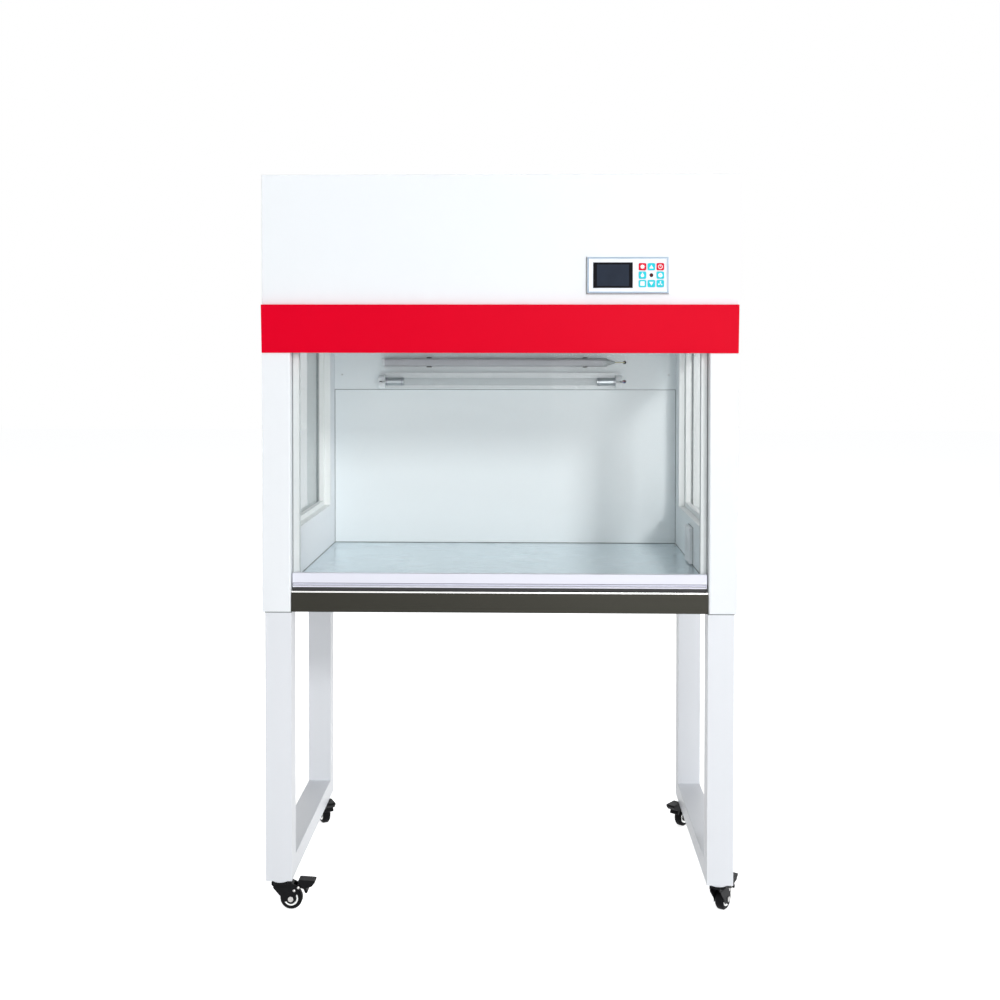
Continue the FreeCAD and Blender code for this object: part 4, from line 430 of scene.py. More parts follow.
steel_cable = finish_with(
    "steel_cable", BRUSHED, (0.42, 0.42, 0.43), 0.01 * MM,
    {"Direction": (9, 9, 9), "Gloss": 0.35}, Metallic=0.95,
)
black_rubber = finish_with("black_rubber", MOULDED, (0.016, 0.016, 0.017), 0.05 * MM, {"Gloss": 0.62})
tyre_rubber = finish_with(
    "tyre_rubber", MOULDED, (0.005, 0.005, 0.006), 0.08 * MM,
    {"Gloss": 0.5, "Grain": 900.0}, Specular_IOR_Level=0.08,
)
black_plastic = finish_with(
    "black_plastic", MOULDED, (0.005, 0.005, 0.006), 0.04 * MM, {"Gloss": 0.42}, Specular_IOR_Level=0.1
)
grey_plastic = finish_with("grey_plastic", MOULDED, (0.42, 0.45, 0.46), 0.03 * MM, {"Gloss": 0.4})
white_plastic = finish_with(
    "white_plastic", MOULDED, (0.86, 0.885, 0.90), 0.02 * MM, {"Gloss": 0.28, "Clouds": 0.02}
)
panel_plastic = finish_with(
    "panel_plastic", MOULDED, (0.80, 0.83, 0.88), 0.01 * MM, {"Gloss": 0.24, "Clouds": 0.02}
)
frosted_cover = finish_with(
    "frosted_cover", MOULDED, (0.50, 0.50, 0.53), 0.01 * MM, {"Gloss": 0.36, "Clouds": 0.03}
)
guide_plastic = finish_with("guide_plastic", MOULDED, (0.72, 0.76, 0.76), 0.02 * MM, {"Gloss": 0.42})
sealant = finish_with("sealant", MOULDED, (0.80, 0.76, 0.56), 0.06 * MM, {"Gloss": 0.4, "Grain": 500.0})
lead_sheath = finish_with("lead_sheath", MOULDED, (0.62, 0.58, 0.36), 0.02 * MM, {"Gloss": 0.42})
red_sheath = finish_with("red_sheath", MOULDED, (0.42, 0.03, 0.05), 0.02 * MM, {"Gloss": 0.4})
blue_sheath = finish_with("blue_sheath", MOULDED, (0.04, 0.06, 0.34), 0.02 * MM, {"Gloss": 0.4})
cast_iron = finish_with(
    "cast_iron", MOULDED, (0.09, 0.09, 0.095), 0.4 * MM, {"Gloss": 0.6, "Grain": 260.0}
)
board_lacquer = finish_with("board_lacquer", MOULDED, (0.02, 0.16, 0.07), 0.02 * MM, {"Gloss": 0.3})
filter_paper = finish_with(
    "filter_paper", MOULDED, (0.85, 0.85, 0.81), 0.2 * MM, {"Gloss": 0.8, "Grain": 700.0}
)
fibre_mat = finish_with(
    "fibre_mat", MOULDED, (0.62, 0.66, 0.68), 1.2 * MM, {"Gloss": 0.85, "Grain": 420.0, "Clouds": 0.2}
)
screen_border = finish_with(
    "screen_border", MOULDED, (0.002, 0.002, 0.005), 0.005 * MM, {"Gloss": 0.2}, Specular_IOR_Level=0.03
)
border_ink = finish_with("border_ink", MOULDED, (0.28, 0.38, 0.50), 0.005 * MM, {"Gloss": 0.3})
# Dark grey for painted shade lines: the handle's groove lines and the outlines of the tube's caps.
groove_grey = finish_with("groove_grey", MOULDED, (0.26, 0.25, 0.31), 0.01 * MM, {"Gloss": 0.5})
hub_chrome = finish_with(
    "hub_chrome", BRUSHED, (0.78, 0.79, 0.78), 0.01 * MM, {"Gloss": 0.22}, Metallic=0.9
)
screen_glass = finish_with(
    "screen_glass", MOULDED, (0.018, 0.028, 0.050), 0.005 * MM,
    {"Gloss": 0.25, "Clouds": 0.35}, Specular_IOR_Level=0.05,
)
cyan_key = finish_with(
    "cyan_key", MOULDED, (0.02, 0.68, 0.80), 0.01 * MM, {"Gloss": 0.3}, Specular_IOR_Level=0.08
)
red_key = finish_with(
    "red_key", MOULDED, (0.80, 0.0, 0.03), 0.01 * MM, {"Gloss": 0.3}, Specular_IOR_Level=0.04
)
# Dark grey for real joints and seams, and for painted shadow beside the outlet, the guides and the bezel.
joint_grey = finish_with("joint_grey", MOULDED, (0.16, 0.18, 0.18), 0.03 * MM, {"Gloss": 0.45})
sign_white = finish_with("sign_white", MOULDED, (0.92, 0.94, 0.95), 0.01 * MM, {"Gloss": 0.3})
# Black for black parts, and painted shade in the outlet's pin openings and the lamp holders.
recess_black = finish_with(
    "recess_black", MOULDED, (0.004, 0.004, 0.005), 0.02 * MM, {"Gloss": 0.6}, Specular_IOR_Level=0.1
)
side_glass = clear_glass("side_glass", (0.42, 0.52, 0.56), 0.02, 0.03, 12.0)
# A darker, less clear copy of the side glass for the left pane: painted reflection.
painted_reflection_glass = clear_glass("painted_reflection_glass", (0.30, 0.40, 0.43), 0.02, 0.10, 7.0)
sash_glass = clear_glass("sash_glass", (0.70, 0.84, 0.84), 0.01, 0.03)
lamp_glass = clear_glass("lamp_glass", (0.42, 0.50, 0.52), 0.03, 0.12)


# Making pieces

SMOOTH_LIMIT = math.radians(32)
BEVEL_LIMIT = math.radians(35)
FLAT_LIMIT = math.radians(0.6)


def publish(name, bm, materials, body, replaced=(), smooth=True):
    """Turn a bmesh into a finished piece that rides on a body."""
    mesh = bpy.data.meshes.new(name)
    bm.to_mesh(mesh)
    bm.free()
    for material in materials:
        mesh.materials.append(material)
    piece = bpy.data.objects.new(name, mesh)
    bpy.context.scene.collection.objects.link(piece)
    if smooth:
        mesh.polygons.foreach_set("use_smooth", [True] * len(mesh.polygons))
        mesh.set_sharp_from_angle(angle=SMOOTH_LIMIT)
        weighted = piece.modifiers.new("even_normals", "WEIGHTED_NORMAL")
        weighted.keep_sharp = True
    if body:
        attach(piece, body)
    if replaced:
        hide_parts(*replaced)
    return piece


def body_of_node(node):
    """The body that a node belongs to."""
    for body, members in frame["record"]["behaviour"]["bodies"].items():
        if node in members:
            return body


def node_mesh(node):
    """A copy of a CAD node's mesh with its triangles joined to clean faces."""
    bm = bmesh.new()
    bm.from_mesh(nodes[node].data)
    bmesh.ops.remove_doubles(bm, verts=bm.verts, dist=0.004 * MM)
    bmesh.ops.dissolve_limit(
        bm, angle_limit=FLAT_LIMIT, use_dissolve_boundaries=False, verts=bm.verts, edges=bm.edges
    )
    return bm


def ease_edges(bm, edges, width):
    """Round edges in two steps."""
    bmesh.ops.bevel(
        bm, geom=edges, offset=width, offset_type="OFFSET", segments=2, profile=0.5, affect="EDGES",
        clamp_overlap=True, material=-1,
    )


def dress(node, name, materials, width, choose=None):
    """A node's own shape with its edges softened and its faces given their finishes."""
    bm = node_mesh(node)
    if choose:
        for face in bm.faces:
            face.material_index = choose(face.calc_center_median(), face.normal)
    sharp = [e for e in bm.edges if len(e.link_faces) == 2 and e.calc_face_angle(0) > BEVEL_LIMIT]
    if width and sharp:
        ease_edges(bm, sharp, width)
    publish(name, bm, materials, body_of_node(node), [node])


def join(bm, part, matrix=None, material=0):
    """Finish a small mesh, set it in place and add it to a bigger one."""
    bmesh.ops.remove_doubles(part, verts=part.verts, dist=0.001 * MM)
    bmesh.ops.recalc_face_normals(part, faces=part.faces)
    for face in part.faces:
        face.material_index = material
    if matrix is not None:
        bmesh.ops.transform(part, matrix=matrix, verts=part.verts)
    scrap = bpy.data.meshes.new("scrap")
    part.to_mesh(scrap)
    part.free()
    bm.from_mesh(scrap)
    bpy.data.meshes.remove(scrap)


def lathe(bm, profile, matrix=None, material=0, steps=32):
    """Spin an outline of (radius, height) points once round Z, then set it in place."""
    part = bmesh.new()
    verts = [part.verts.new((radius, 0, height)) for radius, height in profile]
    edges = [part.edges.new(pair) for pair in zip(verts, verts[1:])]
    bmesh.ops.spin(
        part, geom=verts + edges, cent=(0, 0, 0), axis=(0, 0, 1), angle=math.tau, steps=steps,
        use_merge=True,
    )
    join(bm, part, matrix, material)


def plate(bm, points, thick, matrix, material=0, ease=0.0):
    """A flat piece from an outline in XY, thickened along +Z, then set in place."""
    part = bmesh.new()
    face = part.faces.new([part.verts.new((x, y, 0)) for x, y in points])
    raised = bmesh.ops.extrude_face_region(part, geom=[face])["geom"]
    moved = [v for v in raised if isinstance(v, bmesh.types.BMVert)]
    bmesh.ops.translate(part, vec=(0, 0, thick), verts=moved)
    if ease:
        ease_edges(part, part.edges[:], ease)
    join(bm, part, matrix, material)


def disc_outline(radius, count=24, stretch=(1, 1), middle=(0, 0), turn=0.0):
    """Points of a circle or an ellipse."""
    angles = [turn + math.tau * i / count for i in range(count)]
    return [
        (middle[0] + radius * stretch[0] * math.cos(a), middle[1] + radius * stretch[1] * math.sin(a))
        for a in angles
    ]


def bead(bm, path, radius, sides=8):
    """A round bead of sealant or weld along a path of points."""
    part = bmesh.new()
    turns = []
    for before, spot, after in zip([path[0], *path[:-1]], path, [*path[1:], path[-1]]):
        along = (Vector(after) - Vector(before)).normalized()
        turns.append(Matrix.Translation(spot) @ along.to_track_quat("Z", "Y").to_matrix().to_4x4())
    bmesh.ops.create_circle(part, segments=sides, radius=radius, matrix=turns[0])
    loop = part.edges[:]
    bmesh.ops.edgeloop_fill(part, edges=loop)
    for last, turn in zip(turns, turns[1:]):
        made = bmesh.ops.extrude_edge_only(part, edges=loop)["geom"]
        loop = [g for g in made if isinstance(g, bmesh.types.BMEdge)]
        moved = [g for g in made if isinstance(g, bmesh.types.BMVert)]
        bmesh.ops.transform(part, matrix=turn @ last.inverted(), verts=moved)
    bmesh.ops.edgeloop_fill(part, edges=loop)
    join(bm, part)


def block(bm, low, high, material=0, ease=0.0):
    """A box between two corners, with its edges rounded where asked."""
    low, high = Vector(low), Vector(high)
    middle, size = (low + high) / 2, high - low
    matrix = Matrix.Translation(middle) @ Matrix.Diagonal((*[abs(c) for c in size], 1))
    made = bmesh.ops.create_cube(bm, size=1, matrix=matrix)["verts"]
    faces = {f for v in made for f in v.link_faces}
    for face in faces:
        face.material_index = material
    if ease:
        ease_edges(bm, list({e for v in made for e in v.link_edges}), ease)


def facing(axis, place):
    """A matrix that turns +Z to an axis and moves to a place."""
    return Matrix.Translation(place) @ Vector(axis).to_track_quat("Z", "Y").to_matrix().to_4x4()


def screws(name, spots, axis, radius=3.6 * MM, height=1.8 * MM):
    """Socket screws with domed heads on one face of the cabinet, as one piece."""
    socket, depth = 0.46 * radius, 0.6 * height
    bm = bmesh.new()
    profile = [
        (0, height - depth), (socket, height - depth), (socket, height), (0.7 * radius, 0.93 * height),
        (0.92 * radius, 0.6 * height), (radius, 0.12 * height), (radius, -0.2 * MM), (0, -0.2 * MM),
    ]
    for spot in spots:
        lathe(bm, profile, facing(axis, spot), steps=20)
    publish(name, bm, [bright_steel], CABINET)


def window_frame(bm, x, low, high, width, thick, material, ease):
    """Four bars in an X plane round an opening; width lies inside the opening."""
    (y0, z0), (y1, z1) = low, high
    x0, x1 = sorted((x, x + thick))
    block(bm, (x0, y0, z0), (x1, y1, z0 + width), material, ease)
    block(bm, (x0, y0, z1 - width), (x1, y1, z1), material, ease)
    block(bm, (x0, y0, z0 + width), (x1, y0 + width, z1 - width), material, ease)
    block(bm, (x0, y1 - width, z0 + width), (x1, y1, z1 - width), material, ease)


def spread_along(start, end, count):
    """Evenly spaced values from start to end."""
    return [start + (end - start) * i / (count - 1) for i in range(count)]


def in_mm(points):
    """Points given in millimetres, in metres."""
    return [(a * MM, b * MM) for a, b in points]


def low_high(node):
    """The corners of a node's box."""
    low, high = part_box(node)
    return Vector(low), Vector(high)


# Shell: walls, covers, band

wall_low, wall_high = low_high("right_side_wall")
pane_low, pane_high = low_high("window_panes")
back_low = low_high("chamber_back_wall")[0]
rear_low, rear_high = low_high("rear_cover")
top_low, top_high = low_high("top_cover")
band_low = low_high("fascia_band")[0]
pan_low, pan_high = low_high("base_pan")
work_low, work_high = low_high("work_surface")
BRACKET_REACH = 3 * MM
INNER_X = wall_low.x + BRACKET_REACH
OUTER_X = wall_high.x
SKIN_ROOM = 1 * MM
REVEAL_ROOM = 2 * MM
LINER_TOP = band_low.z + 12 * MM


def wall_finish(centre, normal):
    """Outer skin white; inner skin in a lighter copy of the same white, as painted light; window reveal in its own
    white.
    """
    across = abs(centre.x)
    if across < INNER_X + SKIN_ROOM and centre.z < LINER_TOP and abs(normal.x) > 0.5:
        return 1
    in_depth = pane_low.y - REVEAL_ROOM < centre.y < pane_high.y + REVEAL_ROOM
    in_height = pane_low.z - REVEAL_ROOM < centre.z < pane_high.z + REVEAL_ROOM
    return 2 if in_depth and in_height and across < OUTER_X - SKIN_ROOM else 0


def pane_finish(centre, normal):
    """The left pane gets a darker, less clear copy of the glass: a painted reflection."""
    return int(centre.x < 0)


wall_coats = [white_coat, inside_coat, frame_coat]
for hand, _ in HANDS:
    dress(f"{hand}_side_wall", f"{hand}_side_panel", wall_coats, 0.7 * MM, wall_finish)

dress("window_panes", "side_window_panes", [side_glass, painted_reflection_glass], 0, pane_finish)
# The back wall and lamp panel take the lighter inside copy of the white: painted light.
dress("chamber_back_wall", "chamber_back_panel", [inside_coat], 0)
dress("lamp_panel", "lamp_backplate", [inside_coat], 0.3 * MM)
dress("rear_cover", "rear_cover_sheet", [white_coat], 0.4 * MM)
dress("top_cover", "top_cover_sheet", [head_coat], 0.5 * MM)
dress("front_cover", "front_head_cover", [head_coat], 0.8 * MM)
dress("fascia_band", "red_fascia_band", [red_coat], 0.8 * MM)
dress("prefilter_pad", "prefilter_mat", [fibre_mat], 1.5 * MM)
dress("cable_gland", "mains_cable_gland", [black_plastic], 0.25 * MM)

SCREW_INSET = 14 * MM
screw_x = OUTER_X - SCREW_INSET
rear_spots = [
    (x, rear_high.y, z) for x in spread_along(-screw_x, screw_x, 5)
    for z in (rear_low.z + SCREW_INSET, rear_high.z - SCREW_INSET)
]
rear_spots += [
    (side * screw_x, rear_high.y, z) for _, side in HANDS
    for z in spread_along(rear_low.z, rear_high.z, 5)[1:-1]
]
screws("rear_cover_screws", rear_spots, (0, 1, 0))
top_spots = [
    (x, y, top_high.z) for x in spread_along(-screw_x, screw_x, 4)
    for y in (top_low.y + SCREW_INSET, top_high.y - SCREW_INSET)
]
screws("top_cover_screws", top_spots, (0, 0, 1))


# Window sealant and gaskets

PANE_THICK = 5 * MM
SEALANT_WIDTH, SEALANT_THICK = 3.5 * MM, 3 * MM
GASKET_SIDE = 4 * MM
JAMB_STRIP, JAMB_SHORT = 8 * MM, 6 * MM
sealing = bmesh.new()
pane_edges = ((pane_low.y, pane_low.z), (pane_high.y, pane_high.z))
for _, side in HANDS:
    x_in, x_out = side * (pane_high.x - PANE_THICK), side * pane_high.x
    window_frame(sealing, x_in, *pane_edges, SEALANT_WIDTH, -side * SEALANT_THICK, 0, 1 * MM)
    window_frame(sealing, x_out, *pane_edges, GASKET_SIDE, side * GASKET_SIDE, 1, 1 * MM)
jamb_y = pane_low.y - REVEAL_ROOM
block(
    sealing, (wall_low.x - 0.6 * MM, jamb_y, pane_low.z + JAMB_SHORT),
    (wall_low.x + 0.3 * MM, jamb_y + JAMB_STRIP, pane_high.z - JAMB_SHORT), 1, 0.2 * MM,
)
publish("window_sealing", sealing, [sealant, black_rubber], CABINET)


# Work chamber: base pan, work surface, guides, outlet, diffuser

def pan_finish(centre, normal):
    """The pan's top faces get a bright metal copy, a painted highlight on its top fold; its face is darker."""
    return 1 if normal.z > 0.9 and centre.z > pan_high.z - 1 * MM else 0


dress("base_pan", "base_pan_sheet", [dark_stainless, bright_edge], 0.4 * MM, pan_finish)
dress("work_surface", "work_surface_sheet", [stainless], 0.5 * MM)

# A bright strip along the top of the pan's front: a painted highlight on the fold.
HIGHLIGHT_HEIGHT = 3.2 * MM
painted_highlight = bmesh.new()
block(
    painted_highlight, (pan_low.x + 0.5 * MM, pan_low.y - 0.3 * MM, pan_high.z - HIGHLIGHT_HEIGHT),
    (pan_high.x - 0.5 * MM, pan_low.y + 0.8 * MM, pan_high.z + 0.2 * MM), 0, 0.35 * MM,
)
publish("pan_painted_highlight_edge", painted_highlight, [bright_edge], CABINET)

FLOOR_BEAD, PANEL_BEAD, CORNER_BEAD = 1.3 * MM, 0.9 * MM, 0.8 * MM
joints = bmesh.new()
joint_z, joint_y = work_high.z + 0.3 * MM, back_low.y - 0.4 * MM
joint_x, joint_start = INNER_X - 0.5 * MM, work_low.y + 3 * MM
bead(joints, [
    (-joint_x, joint_start, joint_z), (-joint_x, joint_y, joint_z),
    (joint_x, joint_y, joint_z), (joint_x, joint_start, joint_z),
], FLOOR_BEAD)
panel_low, panel_high = low_high("lamp_panel")
panel_foot = panel_low.y + 0.6 * MM
bead(joints, [(-joint_x, panel_foot, panel_low.z), (joint_x, panel_foot, panel_low.z)], PANEL_BEAD)
for _, side in HANDS:
    corner_x = side * joint_x
    bead(joints, [(corner_x, joint_y, joint_z), (corner_x, joint_y, panel_high.z)], CORNER_BEAD)
publish("chamber_joint_seal", joints, [joint_grey], CABINET)
PANEL_SCREW_X, PANEL_SCREW_Z = 438 * MM, 1181 * MM
panel_spots = [(side * PANEL_SCREW_X, panel_low.y, PANEL_SCREW_Z) for _, side in HANDS]
screws("lamp_panel_screws", panel_spots, (0, -1, 0), 2.2 * MM, 1.0 * MM)
dress("sash_guides", "sash_guide_rails", [guide_plastic], 0.3 * MM)

outlet_low, outlet_high = low_high("socket_outlet")
outlet_middle = (outlet_low + outlet_high) / 2
SLOTS_HALF_WIDTH, SLOTS_HALF_HEIGHT = 12 * MM, 24 * MM


def outlet_finish(centre, normal):
    """Black inside the pin openings: painted shade."""
    away = centre - outlet_middle
    inside = outlet_low.x + 0.2 * MM < centre.x < outlet_high.x - 1 * MM
    return int(inside and abs(away.y) < SLOTS_HALF_WIDTH and abs(away.z) < SLOTS_HALF_HEIGHT)


dress("socket_outlet", "wall_socket_outlet", [white_plastic, recess_black], 0.3 * MM, outlet_finish)
# A dark plate behind the outlet, a little larger, that draws a dark outline round it: painted shadow.
SHADOW_PLATE_OVER, SHADOW_PLATE_THICK = 1.4 * MM, 0.8 * MM
shadow_plate = bmesh.new()
block(
    shadow_plate, (INNER_X - SHADOW_PLATE_THICK, outlet_low.y - SHADOW_PLATE_OVER, outlet_low.z - SHADOW_PLATE_OVER),
    (INNER_X, outlet_high.y + SHADOW_PLATE_OVER, outlet_high.z + SHADOW_PLATE_OVER),
)
publish("outlet_shadow_plate", shadow_plate, [joint_grey], CABINET)

guide_low, guide_high = low_high("sash_guides")
# Dark strips on the guides' front edges beside the posts: painted shadow.
SHADOW_STRIP_WIDTH, SHADOW_STRIP_PROUD, SHADOW_STRIP_START = 1.8 * MM, 0.8 * MM, 8 * MM
shadow_strips = bmesh.new()
for _, side in HANDS:
    x0, x1 = sorted((side * guide_high.x, side * (guide_high.x - SHADOW_STRIP_WIDTH)))
    block(
        shadow_strips, (x0, guide_low.y - SHADOW_STRIP_PROUD, guide_low.z + SHADOW_STRIP_START), (x1, guide_low.y, guide_high.z), 0,
        0.2 * MM,
    )
publish("guide_shadow_strips", shadow_strips, [joint_grey], CABINET)
dress("diffuser_grid", "ceiling_diffuser_grid", [white_coat], 0)


def filter_finish(centre, normal):
    """Pleated paper inside an aluminium frame."""
    return 1 if abs(normal.x) > 0.3 and abs(normal.z) > 0.3 else 0


dress("hepa_filter", "pleated_air_filter", [satin_aluminium, filter_paper], 0, filter_finish)
dress("fan_deck", "fan_deck_sheet", [zinc], 0)
dress("blower_scroll", "blower_housing", [zinc], 0.4 * MM)
dress("blower_motor", "blower_drive_motor", [satin_aluminium], 0.6 * MM)
dress("blower_impeller", "blower_wheel", [black_plastic], 0)


# Sash: glass, handle, rail, seal

def glass_finish(centre, normal):
    """The glass edges look darker than its faces."""
    return 0 if abs(normal.y) > 0.9 else 1


sash_edge = clear_glass("sash_edge", (0.30, 0.42, 0.40), 0.15, 0.6)
dress("sash_glass", "sash_glass_sheet", [sash_glass, sash_edge], 0, glass_finish)
dress("sash_handle", "sash_pull_handle", [handle_coat], 0.8 * MM)
handle_low, handle_high = low_high("sash_handle")
# Dark lines laid on the handle's face for its groove and lip: painted shade.
# Level as a share of the handle's height, and width.
GROOVE_SHADES = ((0.30, 1.5 * MM), (0.13, 0.9 * MM))
GROOVE_SHADE_SHOWS = 0.12 * MM
groove_shades = bmesh.new()
for level, width in GROOVE_SHADES:
    z = handle_low.z + level * (handle_high.z - handle_low.z)
    block(
        groove_shades, (handle_low.x + 1 * MM, handle_low.y - GROOVE_SHADE_SHOWS, z - width / 2),
        (handle_high.x - 1 * MM, handle_low.y + 1 * MM, z + width / 2),
    )
publish("handle_groove_shades", groove_shades, [groove_grey], SASH, smooth=False)
dress("sash_top_rail", "sash_cable_rail", [satin_aluminium], 0.5 * MM)
dress("sash_seal", "sash_foot_seal", [black_rubber], 0.8 * MM)


# Balance: counterweights, pulleys and cables

CABLE_RADIUS = 1 * MM
STRANDS = 6
TWIST = 14 * MM
STEPS_PER_TWIST = 10
ROPES = (("sash_cables", "sash_rope", False), ("counterweight_cables", "weight_rope", True))


def pulley_finish(node):
    """The turn of cable in the groove against the sheave."""
    low, high = low_high(node)
    middle = (low + high) / 2

    def chosen(centre, normal):
        away = math.hypot(centre.x - middle.x, centre.z - middle.z)
        in_groove = abs(centre.y - middle.y) < 1.1 * MM and away > (high.x - low.x) / 2 - 3 * MM
        return 1 if in_groove and abs(normal.y) < 0.99 else 0

    return chosen


for hand, _ in HANDS:
    dress(f"{hand}_counterweight", f"{hand}_balance_weight", [cast_iron], 0.6 * MM)
    sheave = f"{hand}_pulley"
    dress(sheave, f"{hand}_cable_pulley", [black_plastic, steel_cable], 0, pulley_finish(sheave))


def twisted_cable(name, spot, z_low, z_high, node):
    """A laid wire rope: strands wound round a straight line, stretched between two bodies."""
    bm = bmesh.new()
    strand = CABLE_RADIUS / 3
    length = z_high - z_low
    steps = int(length / (TWIST / STEPS_PER_TWIST))
    for number in range(STRANDS):
        part = bmesh.new()
        bmesh.ops.create_circle(
            part, segments=6, radius=strand, matrix=Matrix.Translation((CABLE_RADIUS - strand, 0, 0))
        )
        bmesh.ops.spin(
            part, geom=part.verts[:] + part.edges[:], cent=(0, 0, 0), axis=(0, 0, 1),
            dvec=(0, 0, length / steps), angle=math.tau * length / TWIST, steps=steps,
        )
        turn = Matrix.Rotation(math.tau * number / STRANDS, 4, "Z")
        join(bm, part, Matrix.Translation((spot.x, spot.y, z_low)) @ turn)
    start, end = Vector((spot.x, spot.y, z_low)), Vector((spot.x, spot.y, z_high))
    bead(bm, [start, end], strand, sides=6)
    rope = publish(name, bm, [steel_cable], None, [node])
    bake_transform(rope)


for node, label, hangs in ROPES:
    low, high = low_high(node)
    for hand, side in HANDS:
        spot = Vector((side * (high.x - CABLE_RADIUS), (low.y + high.y) / 2, 0))
        twisted_cable(f"{hand}_{label}", spot, low.z, high.z, node)


# Control panel

bezel_low, bezel_high = low_high("control_bezel")
screen_low, screen_high = low_high("display_screen")
dress("control_bezel", "control_panel_bezel", [bezel_metal], 0.4 * MM)
dress("keypad_plate", "keypad_face_plate", [panel_plastic], 0.3 * MM)
dress("display_screen", "display_module", [screen_border], 0.3 * MM)
board_high = low_high("control_board")[1]
BOARD_THICK = 1.7 * MM


def board_finish(centre, normal):
    """The switches and posts in front of the board are black."""
    return int(centre.y < board_high.y - BOARD_THICK)


dress("control_board", "control_circuit_board", [board_lacquer, black_plastic], 0.1 * MM, board_finish)

SCREEN_MARGIN = (8.2 * MM, 4.5 * MM)
active = bmesh.new()
block(
    active,
    (screen_low.x + SCREEN_MARGIN[0], screen_low.y - 0.15 * MM, screen_low.z + SCREEN_MARGIN[1]),
    (screen_high.x - SCREEN_MARGIN[0], screen_low.y + 0.5 * MM, screen_high.z - SCREEN_MARGIN[1]),
    0, 0.1 * MM,
)
publish("display_active_area", active, [screen_glass], CABINET)

RED_KEYS = ("lamp_key", "power_key")
KEYS = ("lamp_key", "up_key", "power_key", "timer_key", "clock_key", "socket_key", "down_key", "fan_key")
for key in KEYS:
    dress(key, f"{key}_cap", [red_key if key in RED_KEYS else cyan_key], 0.6 * MM)


SIGN_THICK = 0.2 * MM
RAYS = 8
FAN_BLADE = [(1.6, -0.7), (3.0, -1.9), (4.8, -1.5), (5.2, 0.3), (3.6, 1.1), (1.7, 0.8)]
POWER_BAR = [(-0.8, 0.2), (0.8, 0.2), (0.8, 5.4), (-0.8, 5.4)]
CLOCK_HANDS = (
    [(-0.35, 0), (0.35, 0), (0.35, 2.6), (-0.35, 2.6)], [(0, -0.35), (2.0, -0.35), (2.0, 0.35), (0, 0.35)],
)


def sign_plate(bm, points, place, material=0):
    """A flat part of a sign, from an outline in millimetres."""
    plate(bm, in_mm(points), SIGN_THICK, place, material)


def lamp_sign(bm, place):
    """A disc with rays."""
    sign_plate(bm, disc_outline(4.2), place)
    for i in range(RAYS):
        angle = math.tau * i / RAYS
        ray = (5.0 * math.cos(angle), 5.0 * math.sin(angle))
        sign_plate(bm, disc_outline(0.5, 8, middle=ray), place)


def up_sign(bm, place, way=1):
    """A triangle that points up."""
    sign_plate(bm, disc_outline(5.4, 3, turn=way * math.tau / 4, middle=(0, -1.2 * way)), place)


def down_sign(bm, place):
    """A triangle that points down."""
    up_sign(bm, place, -1)


def power_sign(bm, place):
    """A ring with a bar."""
    outer, inner, rise = 5.0 * MM, 3.7 * MM, SIGN_THICK
    lathe(bm, [(inner, 0), (outer, 0), (outer, rise), (inner, rise), (inner, 0)], place)
    sign_plate(bm, POWER_BAR, place)


def clock_face(bm, place, radius, drop):
    """A disc with two dark hands."""
    sign_plate(bm, disc_outline(radius, middle=(0, drop)), place)
    lift = Matrix.Translation((0, -SIGN_THICK / 2, 0)) @ place
    for hand in CLOCK_HANDS:
        sign_plate(bm, [(x, y + drop) for x, y in hand], lift, 1)


def clock_sign(bm, place):
    """A clock."""
    clock_face(bm, place, 4.7, 0)


def timer_sign(bm, place):
    """A stop watch: a smaller clock with a button on top."""
    clock_face(bm, place, 3.7, -0.6)
    sign_plate(bm, disc_outline(1.3, 12, (1.2, 0.8), (0, 4.5)), place)


def socket_sign(bm, place):
    """A square with round corners."""
    reach, ease = 4.7, 1.2
    turns = ((1, 1, (0, 45, 90)), (-1, 1, (90, 45, 0)), (-1, -1, (0, 45, 90)), (1, -1, (90, 45, 0)))
    corners = [
        (sx * (reach - ease * (1 - math.cos(a))), sy * (reach - ease * (1 - math.sin(a))))
        for sx, sy, angles in turns for a in map(math.radians, angles)
    ]
    sign_plate(bm, corners, place)


def fan_sign(bm, place):
    """A hub with three blades."""
    sign_plate(bm, disc_outline(1.0, 12), place)
    for i in range(3):
        turn = Matrix.Rotation(math.tau * (i / 3 + 0.25), 4, "Z")
        sign_plate(bm, FAN_BLADE, place @ turn)


SIGNS = {
    "lamp_key": lamp_sign, "up_key": up_sign, "power_key": power_sign, "timer_key": timer_sign,
    "clock_key": clock_sign, "socket_key": socket_sign, "down_key": down_sign, "fan_key": fan_sign,
}
for key, draw_sign in SIGNS.items():
    low, high = low_high(key)
    middle = (low + high) / 2
    signs = bmesh.new()
    draw_sign(signs, facing((0, -1, 0), (middle.x, low.y + SIGN_THICK / 2, middle.z)))
    publish(f"{key}_sign", signs, [sign_white, border_ink], body_of_node(key), smooth=False)

receiver = bmesh.new()
RECEIVER_DOME = in_mm([(0, 0.9), (1.6, 0.8), (3.4, 0.45), (4.2, 0), (0, 0)])
RECEIVER_EYE = in_mm([(0, 1.05), (0.7, 0.95), (0.9, 0.6), (0, 0.6)])
plate_low = low_high("keypad_plate")[0]
low, high = low_high("up_key")
eye_place = facing((0, -1, 0), ((low.x + high.x) / 2, plate_low.y, (bezel_low.z + bezel_high.z) / 2))
lathe(receiver, RECEIVER_DOME, eye_place)
lathe(receiver, RECEIVER_EYE, eye_place, 1, 16)
publish("signal_receiver", receiver, [recess_black, red_key], CABINET)

